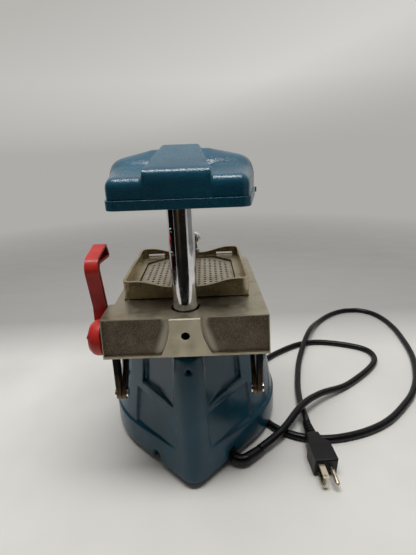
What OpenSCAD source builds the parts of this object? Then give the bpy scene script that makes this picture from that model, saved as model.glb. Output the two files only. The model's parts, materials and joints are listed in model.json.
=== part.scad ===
// Dental vacuum former: a cast base with a suction platform, a sheet carriage
// that slides on a chrome post, a clamp frame lifted by a red lever through two
// crank-and-link pairs, and a heater head that swings on top of the post.
// Origin at the middle of the footprint, on the table. The post is at the rear,
// +Y, the switches face -Y and the red lever is on the +X side.

/* [Base casting] */
// Depth of the base from the switches to the rear of the skirt
base_depth = 240; // [232:1:250]
// Distance from the post axis to the rear of the skirt
column_back = 35; // [32:1:38]
// Distance from the post axis to the middle of the round body
drum_back = 110; // [106:1:114]
// Radius of the skirt
skirt_r = 112; // [108:1:116]
// Radius of the round body at the deck
deck_r = 88; // [84:1:92]
// Radius of the rear column
neck_r = 18.5; // [18:0.5:20]
// Height of the skirt ledge over the table
ledge_z = 43; // [38:1:50]
// Width of the ledge on top of the skirt
ledge_w = 3; // [2:0.5:5]
// Height of the base deck over the table
deck_z = 163; // [160:0.5:163]
// Wall of the base casting
base_wall = 6; // [5.5:0.5:7]
// Height of the rubber feet under the skirt
foot_h = 9; // [9:0.5:11]
// Radius of a rubber foot
foot_r = 9; // [7:0.5:10]
// Thickness of the bottom cover
cover_t = 2; // [1.5:0.5:3]
// Width of the cable notches in the skirt
notch_w = 13; // [12:0.5:15]

/* [Post] */
// Diameter of the chrome post
post_d = 25; // [24:0.5:25]
// Bore of the tubular post
post_bore = 18; // [14:1:20]
// Height of the top of the post over the table
post_top = 337; // [336.5:0.5:338]
// Depth of the post socket in the rear column
socket_h = 90; // [60:1:110]
// Diameter of the two dimples in the post
dimple_d = 4.4; // [3:0.2:6]

/* [Platform] */
// Width of the octagonal suction platform
platform_w = 108; // [105:1:109]
// Cut of the platform corners
platform_cut = 22; // [16:1:26]
// Height of the perforated plate over the table
plate_z = 218; // [216:0.5:219]
// Thickness of the perforated plate
plate_t = 2; // [1.5:0.5:3]
// Diameter of a suction hole
hole_d = 2; // [1.6:0.1:2.4]
// Pitch of the suction holes
hole_pitch = 6.6; // [6.4:0.1:6.8]
// Holes along one side of the field
hole_rows = 15; // [9:2:15]

/* [Carriage] */
// Width of the carriage casting
bar_w = 161; // [159:1:165]
// Height of the top of the carriage over the table
top_z = 209.8; // [209.4:0.1:210.2]
// Height of the rear bar of the carriage
bar_h = 43; // [41:0.5:43.5]
// Distance from the post axis to the rear face
bar_back = 24.5; // [23:0.5:27]
// Distance from the post axis to the front face of the rear bar
bar_front = 12; // [11:0.5:13]
// Distance from the post axis to the front edge of the carriage plate
plate_front = 168; // [167:1:172]
// Distance from the top of the carriage to the lever shaft
shaft_drop = 25.8; // [25:0.2:26.4]
// Thickness of the carriage plate
rail_t = 12; // [9:1:14]
// Travel of the carriage on the post
carriage_travel = 38; // [20:1:39]

/* [Clamp frame] */
// Outside width of the clamp frame
frame_w = 134.5; // [133:0.5:136]
// Outside depth of the clamp frame
frame_d = 132.4; // [130:0.4:134]
// Distance from the post axis to the rear wall of the clamp frame
frame_back = 20.6; // [20:0.2:22]
// Height of the rim corners over the table
rim_z = 230.4; // [229:0.2:232]
// Wall of the rim
rim_t = 3.2; // [2.5:0.1:4]
// Height of the rim over the floor of the frame
rim_h = 10.4; // [9:0.2:12]
// Dip of the front and rear rims in the middle
rim_dip = 7; // [4:0.5:8]
// Thickness of the rubber gasket under the frame
gasket_t = 1.6; // [1:0.2:2]

/* [Lever and links] */
// Length of a crank between shaft and pin
crank_len = 64; // [62:0.5:65]
// Lean of a crank behind the plumb line at rest, degrees
crank_lean = 4.5; // [3:0.5:6]
// Length of a link between its two pins
link_len = 66.1; // [65:0.1:67]
// Thickness of a crank
crank_t = 5; // [4:0.5:5]
// Thickness of a link
link_t = 4; // [3:0.5:4]
// Diameter of the crank pins
pin_d = 6; // [5:0.5:7]
// Diameter of the lever shaft
shaft_d = 10; // [8:0.5:11]
// Width of the lever across its channel
lever_w = 14; // [12:0.5:16]
// Diameter of the lever hub
hub_d = 36; // [32:1:38]
// Wall of the lever channel
lever_wall = 2.6; // [2:0.2:3.4]

/* [Heater head] */
// Height of the lower edge of the head over the table
head_z = 310.4; // [310:0.2:312]
// Height of the top of the head over the table
head_top = 364; // [361:1:367]
// Height of the skirt band of the head
band_h = 8.6; // [8:0.2:10]
// Distance from the post axis to the rear edge of the head
head_back = 19.2; // [19:0.2:20]
// Length of the head
head_len = 186; // [182:1:190]
// Width of the head at its rear edge
head_rear_w = 129; // [124:1:134]
// Width of the head at its middle
head_w = 154; // [150:1:158]
// Wall of the head casting
head_wall = 2.6; // [2.4:0.1:2.8]
// Diameter of the heater coil
coil_d = 5; // [4:0.5:6]

/* [Cord] */
// Diameter of the mains cord
cord_d = 8.4; // [7.6:0.2:8.6]

/* [Hidden] */

// Clearances: a turning fit, a side gap and an open pivot
run_gap = 0.05;
side_gap = 0.5;
open_gap = 1.8;
// Overlap that keeps a cut from leaving a skin
cut = 1;

// Rocker switches: the rockers stand out farthest at the front of the base
switch_z = 74;
switch_gap = 40;
switch_w = 19.4;
switch_h = 13;
bezel_t = 1.6;
bezel_lip = 1.6;
rocker_gap = 0.35;
rocker_in = 4;
rocker_tilt = 7;
rocker_crest = 2.6;
rocker_w = switch_w - 2 * bezel_lip - 2 * rocker_gap;
rocker_h = switch_h - 2 * bezel_lip - 2 * rocker_gap;
tip_x = rocker_w / 2 - 1.2;
switch_proud = (rocker_in + rocker_crest) * cos(rocker_tilt) + tip_x * sin(rocker_tilt) - rocker_in;

// Main places, measured from the post axis
post_y = base_depth / 2 - column_back;
panel_y = column_back - base_depth + switch_proud;
sheet_y = -(frame_back + frame_d / 2);
column_lean = column_back - neck_r;
deck_under = deck_z - base_wall;
frame_under = top_z + gasket_t;
floor_z = rim_z - rim_h;

// Flank of the base: the tangent of the rear column and the round body
flank_tilt = acos((skirt_r - neck_r) / (drum_back + column_lean));
notch_run = 45;
notch_top = 13.5;
scoop_deep = 3.6;
foot_rear = 78;
foot_front = 62;
FEET = [
    [foot_rear, -50], [-foot_rear, -50],
    [foot_front, panel_y + 30], [-foot_front, panel_y + 30]
];
cover_gap = 0.6;

// Post
dimple_z = [top_z + carriage_travel + 20.2, top_z + carriage_travel + 42.2];
dimple_turn = 44;
set_z = 145;
ring_t = 2;
ring_z = post_top - 1.8 - ring_t;

// Platform
plinth_h = 6;
throat_d = 52;
seal_t = 1.2;
plenum_z = 196;

// Vacuum unit in the base
fan_r = 57;
fan_h = 34;
fan_floor = deck_under - fan_h;
fan_wall = 2.5;
inlet_d = 44;
motor_r = 42;
motor_h = 52;
shaft_r = 4;
blade_count = 9;

// Carriage
lever_relief = 6;
plate_r = 12;
web_top_w = 30;
web_foot_w = 52;
web_proud = 3.5;
recess_in = 2.6;
lip = 2.4;
bush_d = 29;
window_w = platform_w + 4;
plunger_d = 8.6;
plunger_z = top_z - 19;

// Shaft, crank pin and top pivot of the linkage, in the YZ plane
shaft_y = 10;
shaft_z = top_z - shaft_drop;
pin_y = shaft_y + crank_len * sin(crank_lean);
pin_z = shaft_z - crank_len * cos(crank_lean);
leg_y = -26.5;
leg_z = pin_z + sqrt(link_len * link_len - (pin_y - leg_y) * (pin_y - leg_y));
crank_eye = 9;
bay_back = shaft_y + crank_eye + side_gap;
shaft_at = [shaft_y, shaft_z];
pin_at = [pin_y, pin_z];
leg_at = [leg_y, leg_z];

// Stack of the linkage along X, from the carriage side inward
cheek_t = 4;
crank_x = bar_w / 2 - cheek_t - side_gap - crank_t;
link_x = crank_x - side_gap - link_t;
leg_t = 4.5;
leg_x = link_x - side_gap - leg_t;
leg_w = 10;

// Clamp frame and its screw
dip_half = 54;
dip_flat = 14;
corner_r = 9;
lug_x = -6;
lug_y = -(frame_back + frame_d + 8);
lug_r = 6.5;
stud_d = 6;
frame_floor_t = 3.6;
opening_w = platform_w + 1.6;
ball_r = 9;
ball_z = 241.7;

// Lever side view: leaning arm and forward handle
arm_foot = [-7.5, shaft_z + 26];
arm_rise = 76.2;
handle_rise = 84.3;
handle_drop = 68;
arm_corner = [2.9, shaft_z + arm_rise];
handle_top = [-40, shaft_z + handle_rise];
handle_low = [-48.9, shaft_z + handle_drop];
arm_t = 8;
bend_r = 13;
lever_x = bar_w / 2 + 2.5;

// Head
cover_z = head_z + band_h;
cover_in = 1.2;
wall_top = cover_z + 8;
head_mid = -62;
head_front = head_back - head_len;
nose_top = 338.5;
shoulder_top = 353;
band_rear_top = 345;
boss_z = 320.4;
collar_z = head_z + 2;
// Pillars inside the cover, which the boss plate is screwed to
pillar_x = 37.4;
pillar_y = [-24, 2.7];

// Heater
ceramic_w = 118;
coil_z = head_z + 2.8;
coil_rows = 8;
coil_pitch = (ceramic_w - 27) / (coil_rows - 1);
coil_run = ceramic_w - 26;
rivet_x = ceramic_w / 2 - 6;

// Cord elbow
relief_z = 10.2;
relief_d = 12;
relief_len = 22;
elbow_r = 13;
elbow_turn = 83;
// Outlet of the elbow in the flank frame, then on the table
out_run = notch_run + elbow_r - elbow_r * cos(elbow_turn) + (relief_len - 4) * sin(elbow_turn);
out_off = 1 + elbow_r * sin(elbow_turn) + (relief_len - 4) * cos(elbow_turn) + neck_r;
out_x = -(out_run * cos(flank_tilt) + out_off * sin(flank_tilt));
out_y = post_y + column_lean - out_run * sin(flank_tilt) + out_off * cos(flank_tilt);

// Plug, lying on its side on the table
plug_h = 24;
plug_len = 46;
plug_x = -149.5;
plug_face = 108;
plug_pitch = 3.2;
plug_turn = 2;
plug_z = plug_h / 2 * cos(plug_pitch) + 0.05;
tail_x = 1.5;
tail_len = 24;
blade_x = 5.5;
// End of the cord inside the tail, 4 mm from its mouth
tail_run = plug_len + tail_len - 5;
tail_at = [
    plug_x + tail_x * cos(plug_turn) + tail_run * cos(plug_pitch) * sin(plug_turn),
    plug_face + tail_x * sin(plug_turn) - tail_run * cos(plug_pitch) * cos(plug_turn),
    plug_z + tail_run * sin(plug_pitch)
];

// Route of the cord on the table, chosen from the way it lies in the photo
flat_z = cord_d / 2;
ROUTE = [
    [out_x, out_y, relief_z],
    [-101, 60, 12], [-118, 45, 14.2], [-148, 12, 18.2], [-183, -17, 13.5], [-229, -44, 5],
    [-270, -74, flat_z], [-297, -99, flat_z], [-309, -119, flat_z], [-309, -139, flat_z],
    [-295, -155, flat_z],
    [-262, -170, flat_z], [-225, -178, flat_z], [-190, -172, flat_z], [-158, -155, flat_z],
    [-125, -131, flat_z],
    [-101, -106, flat_z], [-87, -74, flat_z], [-82, -40, flat_z], [-84, -6, flat_z], [-94, 20, flat_z],
    [-111, 40, flat_z], [-135, 53, flat_z], [-160, 58, flat_z], [-192, 56, flat_z], [-229, 46, flat_z],
    [-263, 29, flat_z], [-298, 1, flat_z], [-325, -26, flat_z], [-350, -62, flat_z], [-374, -114, flat_z],
    [-388, -168, flat_z], [-396, -235, flat_z], [-384, -288, flat_z], [-350, -310, flat_z],
    [-304, -300, flat_z],
    [-256, -261, 4.6], [-217, -202, 12.6], [-180, -125, 6], [-160, -60, flat_z], [-152, -18, 5.6],
    [-149, 12, 9.4], tail_at
];

module from_post() {
    translate([0, post_y, 0]) children();
}

// A revolved body and a stack of discs for the column, hulled to the teardrop
// plan. The body profile is a list of [radius, height], a disc is
// [radius, height, y].
module teardrop(drum, column, fine) {
    hull() {
        translate([0, -drum_back, 0]) rotate_extrude($fn = fine) polygon(drum);
        for (p = column)
            translate([0, p[2], p[1]]) cylinder(r = p[0], h = 0.01, $fn = 32);
    }
}

// Rear column offset at a height: it leans back from the deck to the table
function lean(z) = column_lean * (deck_z - z) / (deck_z - foot_h);

module skirt(inset, bottom, top, fine) {
    r = skirt_r - inset;
    teardrop(
        [[0, bottom], [r - 0.6, bottom], [r, bottom + 2], [r - 0.6, top - 1.4], [r - 2.4, top], [0, top]],
        [[neck_r - inset - 0.6, bottom, lean(bottom)], [neck_r - inset, bottom + 2, lean(bottom)],
         [neck_r - inset, top, lean(top)]],
        fine
    );
}

// Radius of the round body over the ledge
function body_r(z) = skirt_r - ledge_w - (skirt_r - ledge_w - deck_r) * (z - ledge_z) / (deck_z - ledge_z);

module tower(inset, bottom, top, fine) {
    edge = inset > 0 ? 0.5 : 5;
    teardrop(
        [[0, bottom], [body_r(bottom) - inset, bottom], [body_r(top - edge) - inset, top - edge],
         [body_r(top) - inset - edge * 0.3, top - edge * 0.3], [body_r(top) - inset - edge, top], [0, top]],
        [[neck_r - inset, bottom, lean(bottom)], [neck_r - inset, top - edge, lean(top - edge)],
         [neck_r - inset - edge * 0.4, top, lean(top)]],
        fine
    );
}

// Flank frame: X runs outward along the flank from its rear end, Y stands on
// the flank at the skirt, Z is up
module on_flank(side) {
    mirror([side > 0 ? 0 : 1, 0, 0])
        translate([0, column_lean, 0])
            rotate([0, 0, -flank_tilt])
                translate([0, neck_r, 0])
                    children();
}

// Y of the flank over the ledge, in the flank frame, at a run and a height
function flank_y(run, z) =
    let (slope = (body_r(z) - neck_r) / (drum_back + lean(z)), turn = acos(slope) - flank_tilt,
         back = column_lean - lean(z))
    (neck_r - neck_r * cos(turn) - back * slope - run * sin(turn)) / cos(turn);

// Scoop in a flank over a ledge that bows upward. Its depth grows along the
// run, or back again where the second depth is smaller.
module scoop(side, start, finish, low, bow, high, deep_a, deep_b) {
    n = 8;
    run = [for (i = [0 : n]) start + (finish - start) * i / n];
    deep = [for (i = [0 : n]) deep_a + (deep_b - deep_a) * i / n];
    foot = [for (i = [0 : n]) low[0] + (low[1] - low[0]) * i / n + bow * (1 - pow(2 * i / n - 1, 2))];
    pts = concat(
        [for (i = [0 : n]) [run[i], flank_y(run[i], foot[i]) - deep[i], foot[i]]],
        [for (i = [0 : n]) [run[i], flank_y(run[i], high) - deep[i], high]],
        [for (i = [0 : n]) [run[i], 12, foot[i] + 1.5]],
        [for (i = [0 : n]) [run[i], 12, high]]
    );
    m = n + 1;
    on_flank(side)
        polyhedron(points = pts, faces = concat(
            [for (i = [0 : n - 1]) each [
                [i, i + m, i + 1], [i + 1, i + m, i + 1 + m],
                [i + 2 * m, i + 1 + 2 * m, i + 3 * m], [i + 1 + 2 * m, i + 1 + 3 * m, i + 3 * m],
                [i, i + 1, i + 2 * m], [i + 1, i + 1 + 2 * m, i + 2 * m],
                [i + m, i + 3 * m, i + 1 + m], [i + 1 + m, i + 3 * m, i + 1 + 3 * m]]],
            [[0, 2 * m, 3 * m, m], [n, n + m, n + 3 * m, n + 2 * m]]
        ), convexity = 6);
}

// Scoop in the side of the round body, between two angles of the body
module side_scoop(side, low, deep) {
    mirror([side > 0 ? 0 : 1, 0, 0])
        translate([0, -drum_back, 0])
            rotate([0, 0, -24])
                rotate_extrude(angle = 62, $fn = 72)
                    polygon([[body_r(low) - deep, low], [140, low + 1.5], [140, deck_z + 20],
                             [body_r(deck_z + 20) - deep, deck_z + 20]]);
}

module notch_outline() {
    translate([0, foot_h + notch_top - notch_w / 2]) circle(d = notch_w, $fn = 40);
    translate([-notch_w / 2, foot_h - cut]) square([notch_w, notch_top - notch_w / 2 + cut]);
}

// Cable notch in the lower edge of a flank
module notch(side) {
    on_flank(side)
        translate([notch_run, 20, 0])
            rotate([90, 0, 0])
                linear_extrude(50) notch_outline();
}

module base_shell() {
    color([0.11, 0.37, 0.47])
    from_post()
    difference() {
        intersection() {
            union() {
                skirt(0, foot_h, ledge_z, 96);
                tower(0, ledge_z - 2, deck_z, 96);
            }
            translate([-150, panel_y, 0]) cube([300, base_depth + 10, deck_z + 10]);
        }
        intersection() {
            union() {
                skirt(base_wall, foot_h - cut, ledge_z, 48);
                tower(base_wall, ledge_z - 3, deck_under, 48);
            }
            difference() {
                translate([-150, panel_y + base_wall, 0]) cube([300, base_depth, deck_under]);
                translate([0, 0, deck_z - socket_h - base_wall])
                    cylinder(d = post_d + 2 * base_wall + 2, h = socket_h, $fn = 48);
                for (f = FEET)
                    translate([f[0], f[1], foot_h + cover_t]) cylinder(d = 12, h = deck_z, $fn = 24);
            }
        }
        translate([0, 0, deck_z - socket_h])
            cylinder(d = post_d + 0.02, h = socket_h + cut, $fn = 96);
        translate([0, sheet_y, deck_under - cut])
            cylinder(d = throat_d + 0.1, h = base_wall + 2 * cut, $fn = 64);
        for (f = FEET)
            translate([f[0], f[1], foot_h + cover_t - cut]) cylinder(d = 4.02, h = 16, $fn = 24);
        translate([0, 0, set_z]) rotate([-90, 0, 0]) cylinder(d = 6, h = 40, $fn = 32);
        for (s = [-1, 1]) {
            scoop(s, 15, 72, [96.5, 102.5], 3.5, deck_z + 4, 0.8, scoop_deep);
            scoop(s, 12, 82, [ledge_z + 0.5, ledge_z + 0.5], 0, 92, 1, 2.4);
            side_scoop(s, 97, 2.6);
            notch(s);
            translate([s * switch_gap / 2 - switch_w / 2, panel_y - cut, switch_z - switch_h / 2])
                cube([switch_w, base_wall + 2 * cut, switch_h]);
        }
    }
}

module bottom_cover() {
    color([0.16, 0.17, 0.18])
    from_post()
    difference() {
        intersection() {
            skirt(base_wall + cover_gap, foot_h, foot_h + 20, 72);
            translate([-150, panel_y + base_wall + cover_gap, foot_h])
                cube([300, base_depth, cover_t]);
        }
        for (f = FEET)
            translate([f[0], f[1], foot_h - cut]) cylinder(d = 4.6, h = 10, $fn = 24);
        for (s = [-1, 1], i = [0 : 5])
            translate([s * 30, sheet_y - 30 + i * 12, foot_h - cut])
                {
                    translate([-14, -2.5, 0]) cube([28, 5, 10]);
                    for (e = [-14, 14])
                        translate([e, 0, 0]) cylinder(d = 5, h = 10, $fn = 16);
                }
        for (s = [-1, 1])
            notch(s);
    }
}

module rubber_feet() {
    color([0.06, 0.06, 0.06])
    from_post()
    for (f = FEET)
        translate([f[0], f[1], 0])
            rotate_extrude($fn = 48)
                polygon([[2.01, 3], [2.01, foot_h], [foot_r, foot_h], [foot_r, foot_h - 1],
                         [foot_r - 1.2, 1], [foot_r - 2.2, 0], [5, 0], [5, 3]]);
}

module cover_screws() {
    color([0.72, 0.72, 0.7])
    from_post()
    for (f = FEET)
        translate([f[0], f[1], 3])
            rotate_extrude($fn = 32)
                polygon([[0, -2], [3, -2], [4, -1], [4, 0], [2, 0], [2, foot_h + 10], [0, foot_h + 10]]);
}

module post() {
    color([0.8, 0.81, 0.83])
    from_post()
    difference() {
        translate([0, 0, deck_z - socket_h])
            rotate_extrude($fn = 96)
                polygon([[0, 0], [post_d / 2 - 1, 0], [post_d / 2, 1],
                         [post_d / 2, post_top - deck_z + socket_h - 1],
                         [post_d / 2 - 1, post_top - deck_z + socket_h], [0, post_top - deck_z + socket_h]]);
        translate([0, 0, deck_z - socket_h - cut]) cylinder(d = post_bore, h = post_top, $fn = 64);
        for (z = dimple_z)
            translate([0, 0, z])
                rotate([0, 90, dimple_turn]) translate([0, 0, post_d / 2 - 1.4])
                    cylinder(d = dimple_d, h = 5, $fn = 32);
        translate([0, 0, ring_z])
            difference() {
                cylinder(d = post_d + 2, h = ring_t + 0.1, $fn = 64);
                translate([0, 0, -cut]) cylinder(d = post_d - 2.4, h = ring_t + 3, $fn = 64);
            }
    }
}

module post_set_screw() {
    color([0.2, 0.2, 0.21])
    from_post()
    translate([0, post_d / 2, set_z])
        rotate([-90, 0, 0])
            difference() {
                cylinder(d = 5.98, h = 5, $fn = 32);
                translate([0, 0, 2.5]) cylinder(d = 3.2, h = 5, $fn = 6);
            }
}

// Square with its corners cut at 45 degrees
module cut_square(w, c) {
    h = w / 2;
    k = h - c;
    polygon([[-k, -h], [k, -h], [h, -k], [h, k], [k, h], [-k, h], [-h, k], [-h, -k]]);
}

module platform_casting() {
    w = platform_w;
    color([0.66, 0.65, 0.6])
    from_post()
    translate([0, sheet_y, 0])
    difference() {
        union() {
            translate([0, 0, deck_z]) linear_extrude(plinth_h) cut_square(w - 2, platform_cut);
            translate([0, 0, deck_z]) linear_extrude(plate_z - deck_z - 8)
                cut_square(w - 8, platform_cut - 2);
            translate([0, 0, plate_z - 8 - 6]) linear_extrude(14) cut_square(w, platform_cut);
            translate([0, 0, deck_under - seal_t]) cylinder(d = throat_d, h = base_wall + 4, $fn = 64);
        }
        translate([0, 0, deck_under - 4]) cylinder(d = throat_d - 8, h = plate_z, $fn = 64);
        translate([0, 0, plenum_z]) linear_extrude(plate_z) cut_square(w - 16, platform_cut - 4);
        translate([0, 0, plate_z - plate_t]) linear_extrude(10) cut_square(w - 5 + 0.1, platform_cut - 1.5);
        translate([0, 0, plenum_z - 24])
            for (a = [0 : 90 : 270]) rotate([0, 0, a + 45]) translate([40, 0, 0])
                cylinder(d = 9, h = 60, $fn = 32);
    }
}

module platform_seal() {
    color([0.07, 0.07, 0.07])
    from_post()
    translate([0, sheet_y, deck_under - seal_t])
        difference() {
            cylinder(d = 70, h = seal_t, $fn = 64);
            translate([0, 0, -cut]) cylinder(d = throat_d + 0.2, h = 4, $fn = 64);
        }
}

module perforated_plate() {
    half = (hole_rows - 1) / 2;
    edge = (platform_w - 5) / 2 - 4;
    slant = 2 * edge - (platform_cut - 1.5) + 1;
    color([0.74, 0.72, 0.66])
    from_post()
    translate([0, sheet_y, plate_z - plate_t])
        difference() {
            linear_extrude(plate_t) cut_square(platform_w - 5, platform_cut - 1.5);
            for (i = [-half : half], j = [-half : half])
                if (abs(i * hole_pitch) < edge + 2 && (abs(i) + abs(j)) * hole_pitch < slant)
                    translate([i * hole_pitch, j * hole_pitch, -cut])
                        cylinder(d = hole_d, h = plate_t + 2 * cut, $fn = 8);
        }
}

module fan_housing() {
    color([0.5, 0.52, 0.54])
    from_post()
    translate([0, sheet_y, fan_floor])
        difference() {
            union() {
                rotate_extrude($fn = 96)
                    polygon([[0, 0], [fan_r - 3, 0], [fan_r, 3], [fan_r, fan_h - 6], [fan_r - 3, fan_h - 3],
                             [36, fan_h - 3], [36, fan_h - 1.2], [0, fan_h - 1.2]]);
                translate([fan_r - 22, 0, fan_wall + 8]) rotate([-90, 0, 0])
                    cylinder(d = 16, h = 54, $fn = 40);
            }
            translate([0, 0, fan_wall]) cylinder(r = fan_r - fan_wall, h = fan_h - 6 - fan_wall, $fn = 96);
            translate([0, 0, 5]) cylinder(d = inlet_d, h = fan_h, $fn = 64);
            translate([0, 0, -cut]) cylinder(d = 16, h = 10, $fn = 48);
            translate([fan_r - 22, 30, fan_wall + 8]) rotate([-90, 0, 0]) cylinder(d = 12, h = 80, $fn = 40);
        }
}

module vacuum_motor() {
    color([0.35, 0.36, 0.38])
    from_post()
    translate([0, sheet_y, fan_floor - motor_h])
        difference() {
            union() {
                rotate_extrude($fn = 72)
                    polygon([[0, 0], [16, 0], [17, -8], [18, 0], [motor_r - 4, 0], [motor_r, 4],
                             [motor_r, motor_h - 4], [motor_r - 4, motor_h], [0, motor_h]]);
                for (a = [0 : 30 : 330])
                    rotate([0, 0, a]) translate([motor_r - 1, -1.5, 8]) cube([4, 3, motor_h - 16]);
            }
            translate([0, 0, 10]) cylinder(r = shaft_r + run_gap, h = motor_h, $fn = 48);
        }
}

module impeller() {
    r = fan_r - fan_wall - 3;
    color([0.78, 0.79, 0.8])
    from_post()
    translate([0, sheet_y, fan_floor])
        union() {
            translate([0, 0, -motor_h + 11]) cylinder(r = shaft_r, h = motor_h - 11 + 20, $fn = 48);
            translate([0, 0, fan_wall + 2]) cylinder(r = r, h = 1.6, $fn = 72);
            translate([0, 0, fan_wall + 2]) cylinder(r = 9, h = 14, $fn = 48);
            for (i = [0 : blade_count - 1])
                rotate([0, 0, i * 360 / blade_count]) translate([30, -14, fan_wall + 3.2])
                    rotate([0, 0, 36]) rotate_extrude(angle = 94, $fn = 64)
                        translate([24.4, 0]) square([1.6, 15]);
        }
}

module terminal_block() {
    color([0.85, 0.84, 0.8])
    from_post()
    translate([-8, -62, foot_h + cover_t])
        difference() {
            cube([16, 34, 14]);
            for (i = [0 : 2]) {
                translate([4.5, 6 + i * 11, 6]) cylinder(d = 5, h = 12, $fn = 32);
                translate([11.5, 6 + i * 11, 6]) cylinder(d = 5, h = 12, $fn = 32);
            }
        }
}

// Axis of a rocker, behind the panel
module bezel(x) {
    translate([x, panel_y, switch_z])
        difference() {
            union() {
                translate([-switch_w / 2 - 1.8, -bezel_t, -switch_h / 2 - 1.8])
                    cube([switch_w + 3.6, bezel_t, switch_h + 3.6]);
                translate([-switch_w / 2, -cut, -switch_h / 2]) cube([switch_w, 16, switch_h]);
            }
            translate([-switch_w / 2 + bezel_lip, -bezel_t - cut, -switch_h / 2 + bezel_lip])
                cube([switch_w - 2 * bezel_lip, bezel_t + cut + 11, switch_h - 2 * bezel_lip]);
        }
}

module switch_bezels() {
    color([0.08, 0.08, 0.08])
    from_post()
    for (s = [-1, 1]) bezel(s * switch_gap / 2);
}

// Rocker: turns about a Z axis through its belly, two faces at a slight angle
module rocker(x) {
    w = rocker_w / 2;
    translate([x, panel_y + rocker_in, switch_z - rocker_h / 2])
        rotate([0, 0, rocker_tilt])
            linear_extrude(rocker_h)
                difference() {
                    polygon([[-w + 0.9, 2.4], [-w + 0.5, -rocker_in - 0.6],
                             [-tip_x, -rocker_in - rocker_crest], [0, -rocker_in - 0.9],
                             [tip_x, -rocker_in - rocker_crest], [w - 0.5, -rocker_in - 0.6],
                             [w - 0.9, 2.4], [2.5, 5], [-2.5, 5]]);
                    circle(d = 1.2, $fn = 24);
                }
}

module rocker_heater() {
    color([0.75, 0.12, 0.1]) from_post() rocker(-switch_gap / 2);
}

module rocker_vacuum() {
    color([0.1, 0.1, 0.1]) from_post() rocker(switch_gap / 2);
}

// Plan of the carriage: rear bar, then the plate, cut back beside the lever
module carriage_plan() {
    right = -bar_w / 2;
    left = bar_w / 2 - lever_relief;
    translate([right, -bar_front - cut]) square([left - right, cut * 2]);
    translate([right, -plate_front + plate_r]) square([left - right, plate_front - plate_r - bar_front]);
    translate([right + plate_r, -plate_front]) square([left - right - 2 * plate_r, plate_front - bar_front]);
    for (x = [right + plate_r, left - plate_r])
        translate([x, -plate_front + plate_r]) circle(r = plate_r, $fn = 64);
}

// Outline of the smooth web on the rear face: narrow in the middle, wide below
module web_outline() {
    z0 = top_z - bar_h;
    polygon(concat(
        [for (i = [0 : 8]) let (t = i / 8) [web_foot_w / 2 - (web_foot_w - web_top_w) / 2 * sin(t * 90),
                                             z0 + (bar_h - 6) * t]],
        [[web_top_w / 2, top_z], [-web_top_w / 2, top_z]],
        [for (i = [8 : -1 : 0]) let (t = i / 8) [-web_foot_w / 2 + (web_foot_w - web_top_w) / 2 * sin(t * 90),
                                                  z0 + (bar_h - 6) * t]]
    ));
}

// Recess beside the web: a panel with a large round corner toward the web
module recess_outline(side) {
    z0 = top_z - bar_h;
    inner = web_top_w / 2 + 2;
    mirror([side > 0 ? 0 : 1, 0])
        difference() {
            translate([inner, z0 + lip]) square([bar_w / 2 - lip - inner, bar_h - 2 * lip]);
            difference() {
                translate([inner - cut, z0 + lip - cut]) square([web_foot_w / 2 - web_top_w / 2 + cut, 16]);
                translate([inner + 12, z0 + lip + 12]) circle(r = 12, $fn = 48);
                translate([inner + 12, z0]) square([30, 40]);
            }
            difference() {
                translate([inner - cut, top_z - lip - 6]) square([6 + cut, 6 + cut]);
                translate([inner + 6, top_z - lip - 6]) circle(r = 6, $fn = 48);
            }
        }
}

module carriage() {
    z0 = top_z - bar_h;
    color([0.58, 0.56, 0.5])
    from_post()
    difference() {
        union() {
            translate([-bar_w / 2, -bar_front, z0]) cube([bar_w, bar_front + bar_back, bar_h]);
            translate([0, 0, top_z - rail_t]) linear_extrude(rail_t) carriage_plan();
            intersection() {
                translate([0, bar_back + web_proud, 0]) rotate([90, 0, 0])
                    linear_extrude(web_proud + 2) web_outline();
                rotate([90, 0, 90]) linear_extrude(80, center = true)
                    polygon([[bar_back - 4, z0], [bar_back, z0], [bar_back + web_proud, top_z - 1],
                             [bar_back + web_proud - 1, top_z], [bar_back - 4, top_z]]);
            }
            translate([0, 0, z0]) cylinder(d = bush_d + 9, h = bar_h - rail_t, $fn = 64);
        }
        for (s = [-1, 1])
            translate([0, bar_back + cut, 0]) rotate([90, 0, 0])
                linear_extrude(recess_in + cut) difference() {
                    recess_outline(s);
                    web_outline();
                }
        translate([0, sheet_y, top_z - rail_t - cut])
            linear_extrude(rail_t + 2 * cut) cut_square(window_w, platform_cut);
        translate([0, 0, z0 - cut]) cylinder(d = bush_d, h = bar_h + 2 * cut, $fn = 96);
        translate([0, 10, plunger_z]) rotate([-90, 0, 0]) cylinder(d = plunger_d, h = 30, $fn = 48);
        // Bays for the cranks, slots for the legs, holes for the shafts
        for (s = [-1, 1]) mirror([s > 0 ? 0 : 1, 0, 0]) {
            translate([link_x - side_gap, -bar_front - cut, z0 - cut])
                cube([crank_t + link_t + 3 * side_gap, bar_front + bay_back + cut, bar_h - 8 + cut]);
            translate([bush_d / 2 + 8, -bar_front + 4, z0 - cut])
                cube([link_x - bush_d / 2 - 18, bar_front + bar_back - 12, bar_h - 8 + cut]);
            translate([link_x - 10, shaft_y, shaft_z]) rotate([0, 90, 0])
                cylinder(d = shaft_d + 2 * run_gap, h = 60, $fn = 64);
            translate([leg_x - side_gap, leg_y - leg_w / 2 - side_gap - 0.1, top_z - rail_t - cut])
                cube([leg_t + 2 * side_gap, leg_w + 2 * side_gap + 0.2, rail_t + 2 * cut]);
        }
    }
}

module post_bush() {
    color([0.05, 0.05, 0.05])
    from_post()
    translate([0, 0, top_z - bar_h])
        difference() {
            rotate_extrude($fn = 96)
                polygon([[post_d / 2 + run_gap, 0], [bush_d / 2, 0], [bush_d / 2, bar_h - 3],
                         [post_d / 2 + run_gap, bar_h - 3]]);
            translate([0, 0, plunger_z - top_z + bar_h]) rotate([-90, 0, 0])
                cylinder(d = plunger_d - 2, h = 30, $fn = 40);
        }
}

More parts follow.
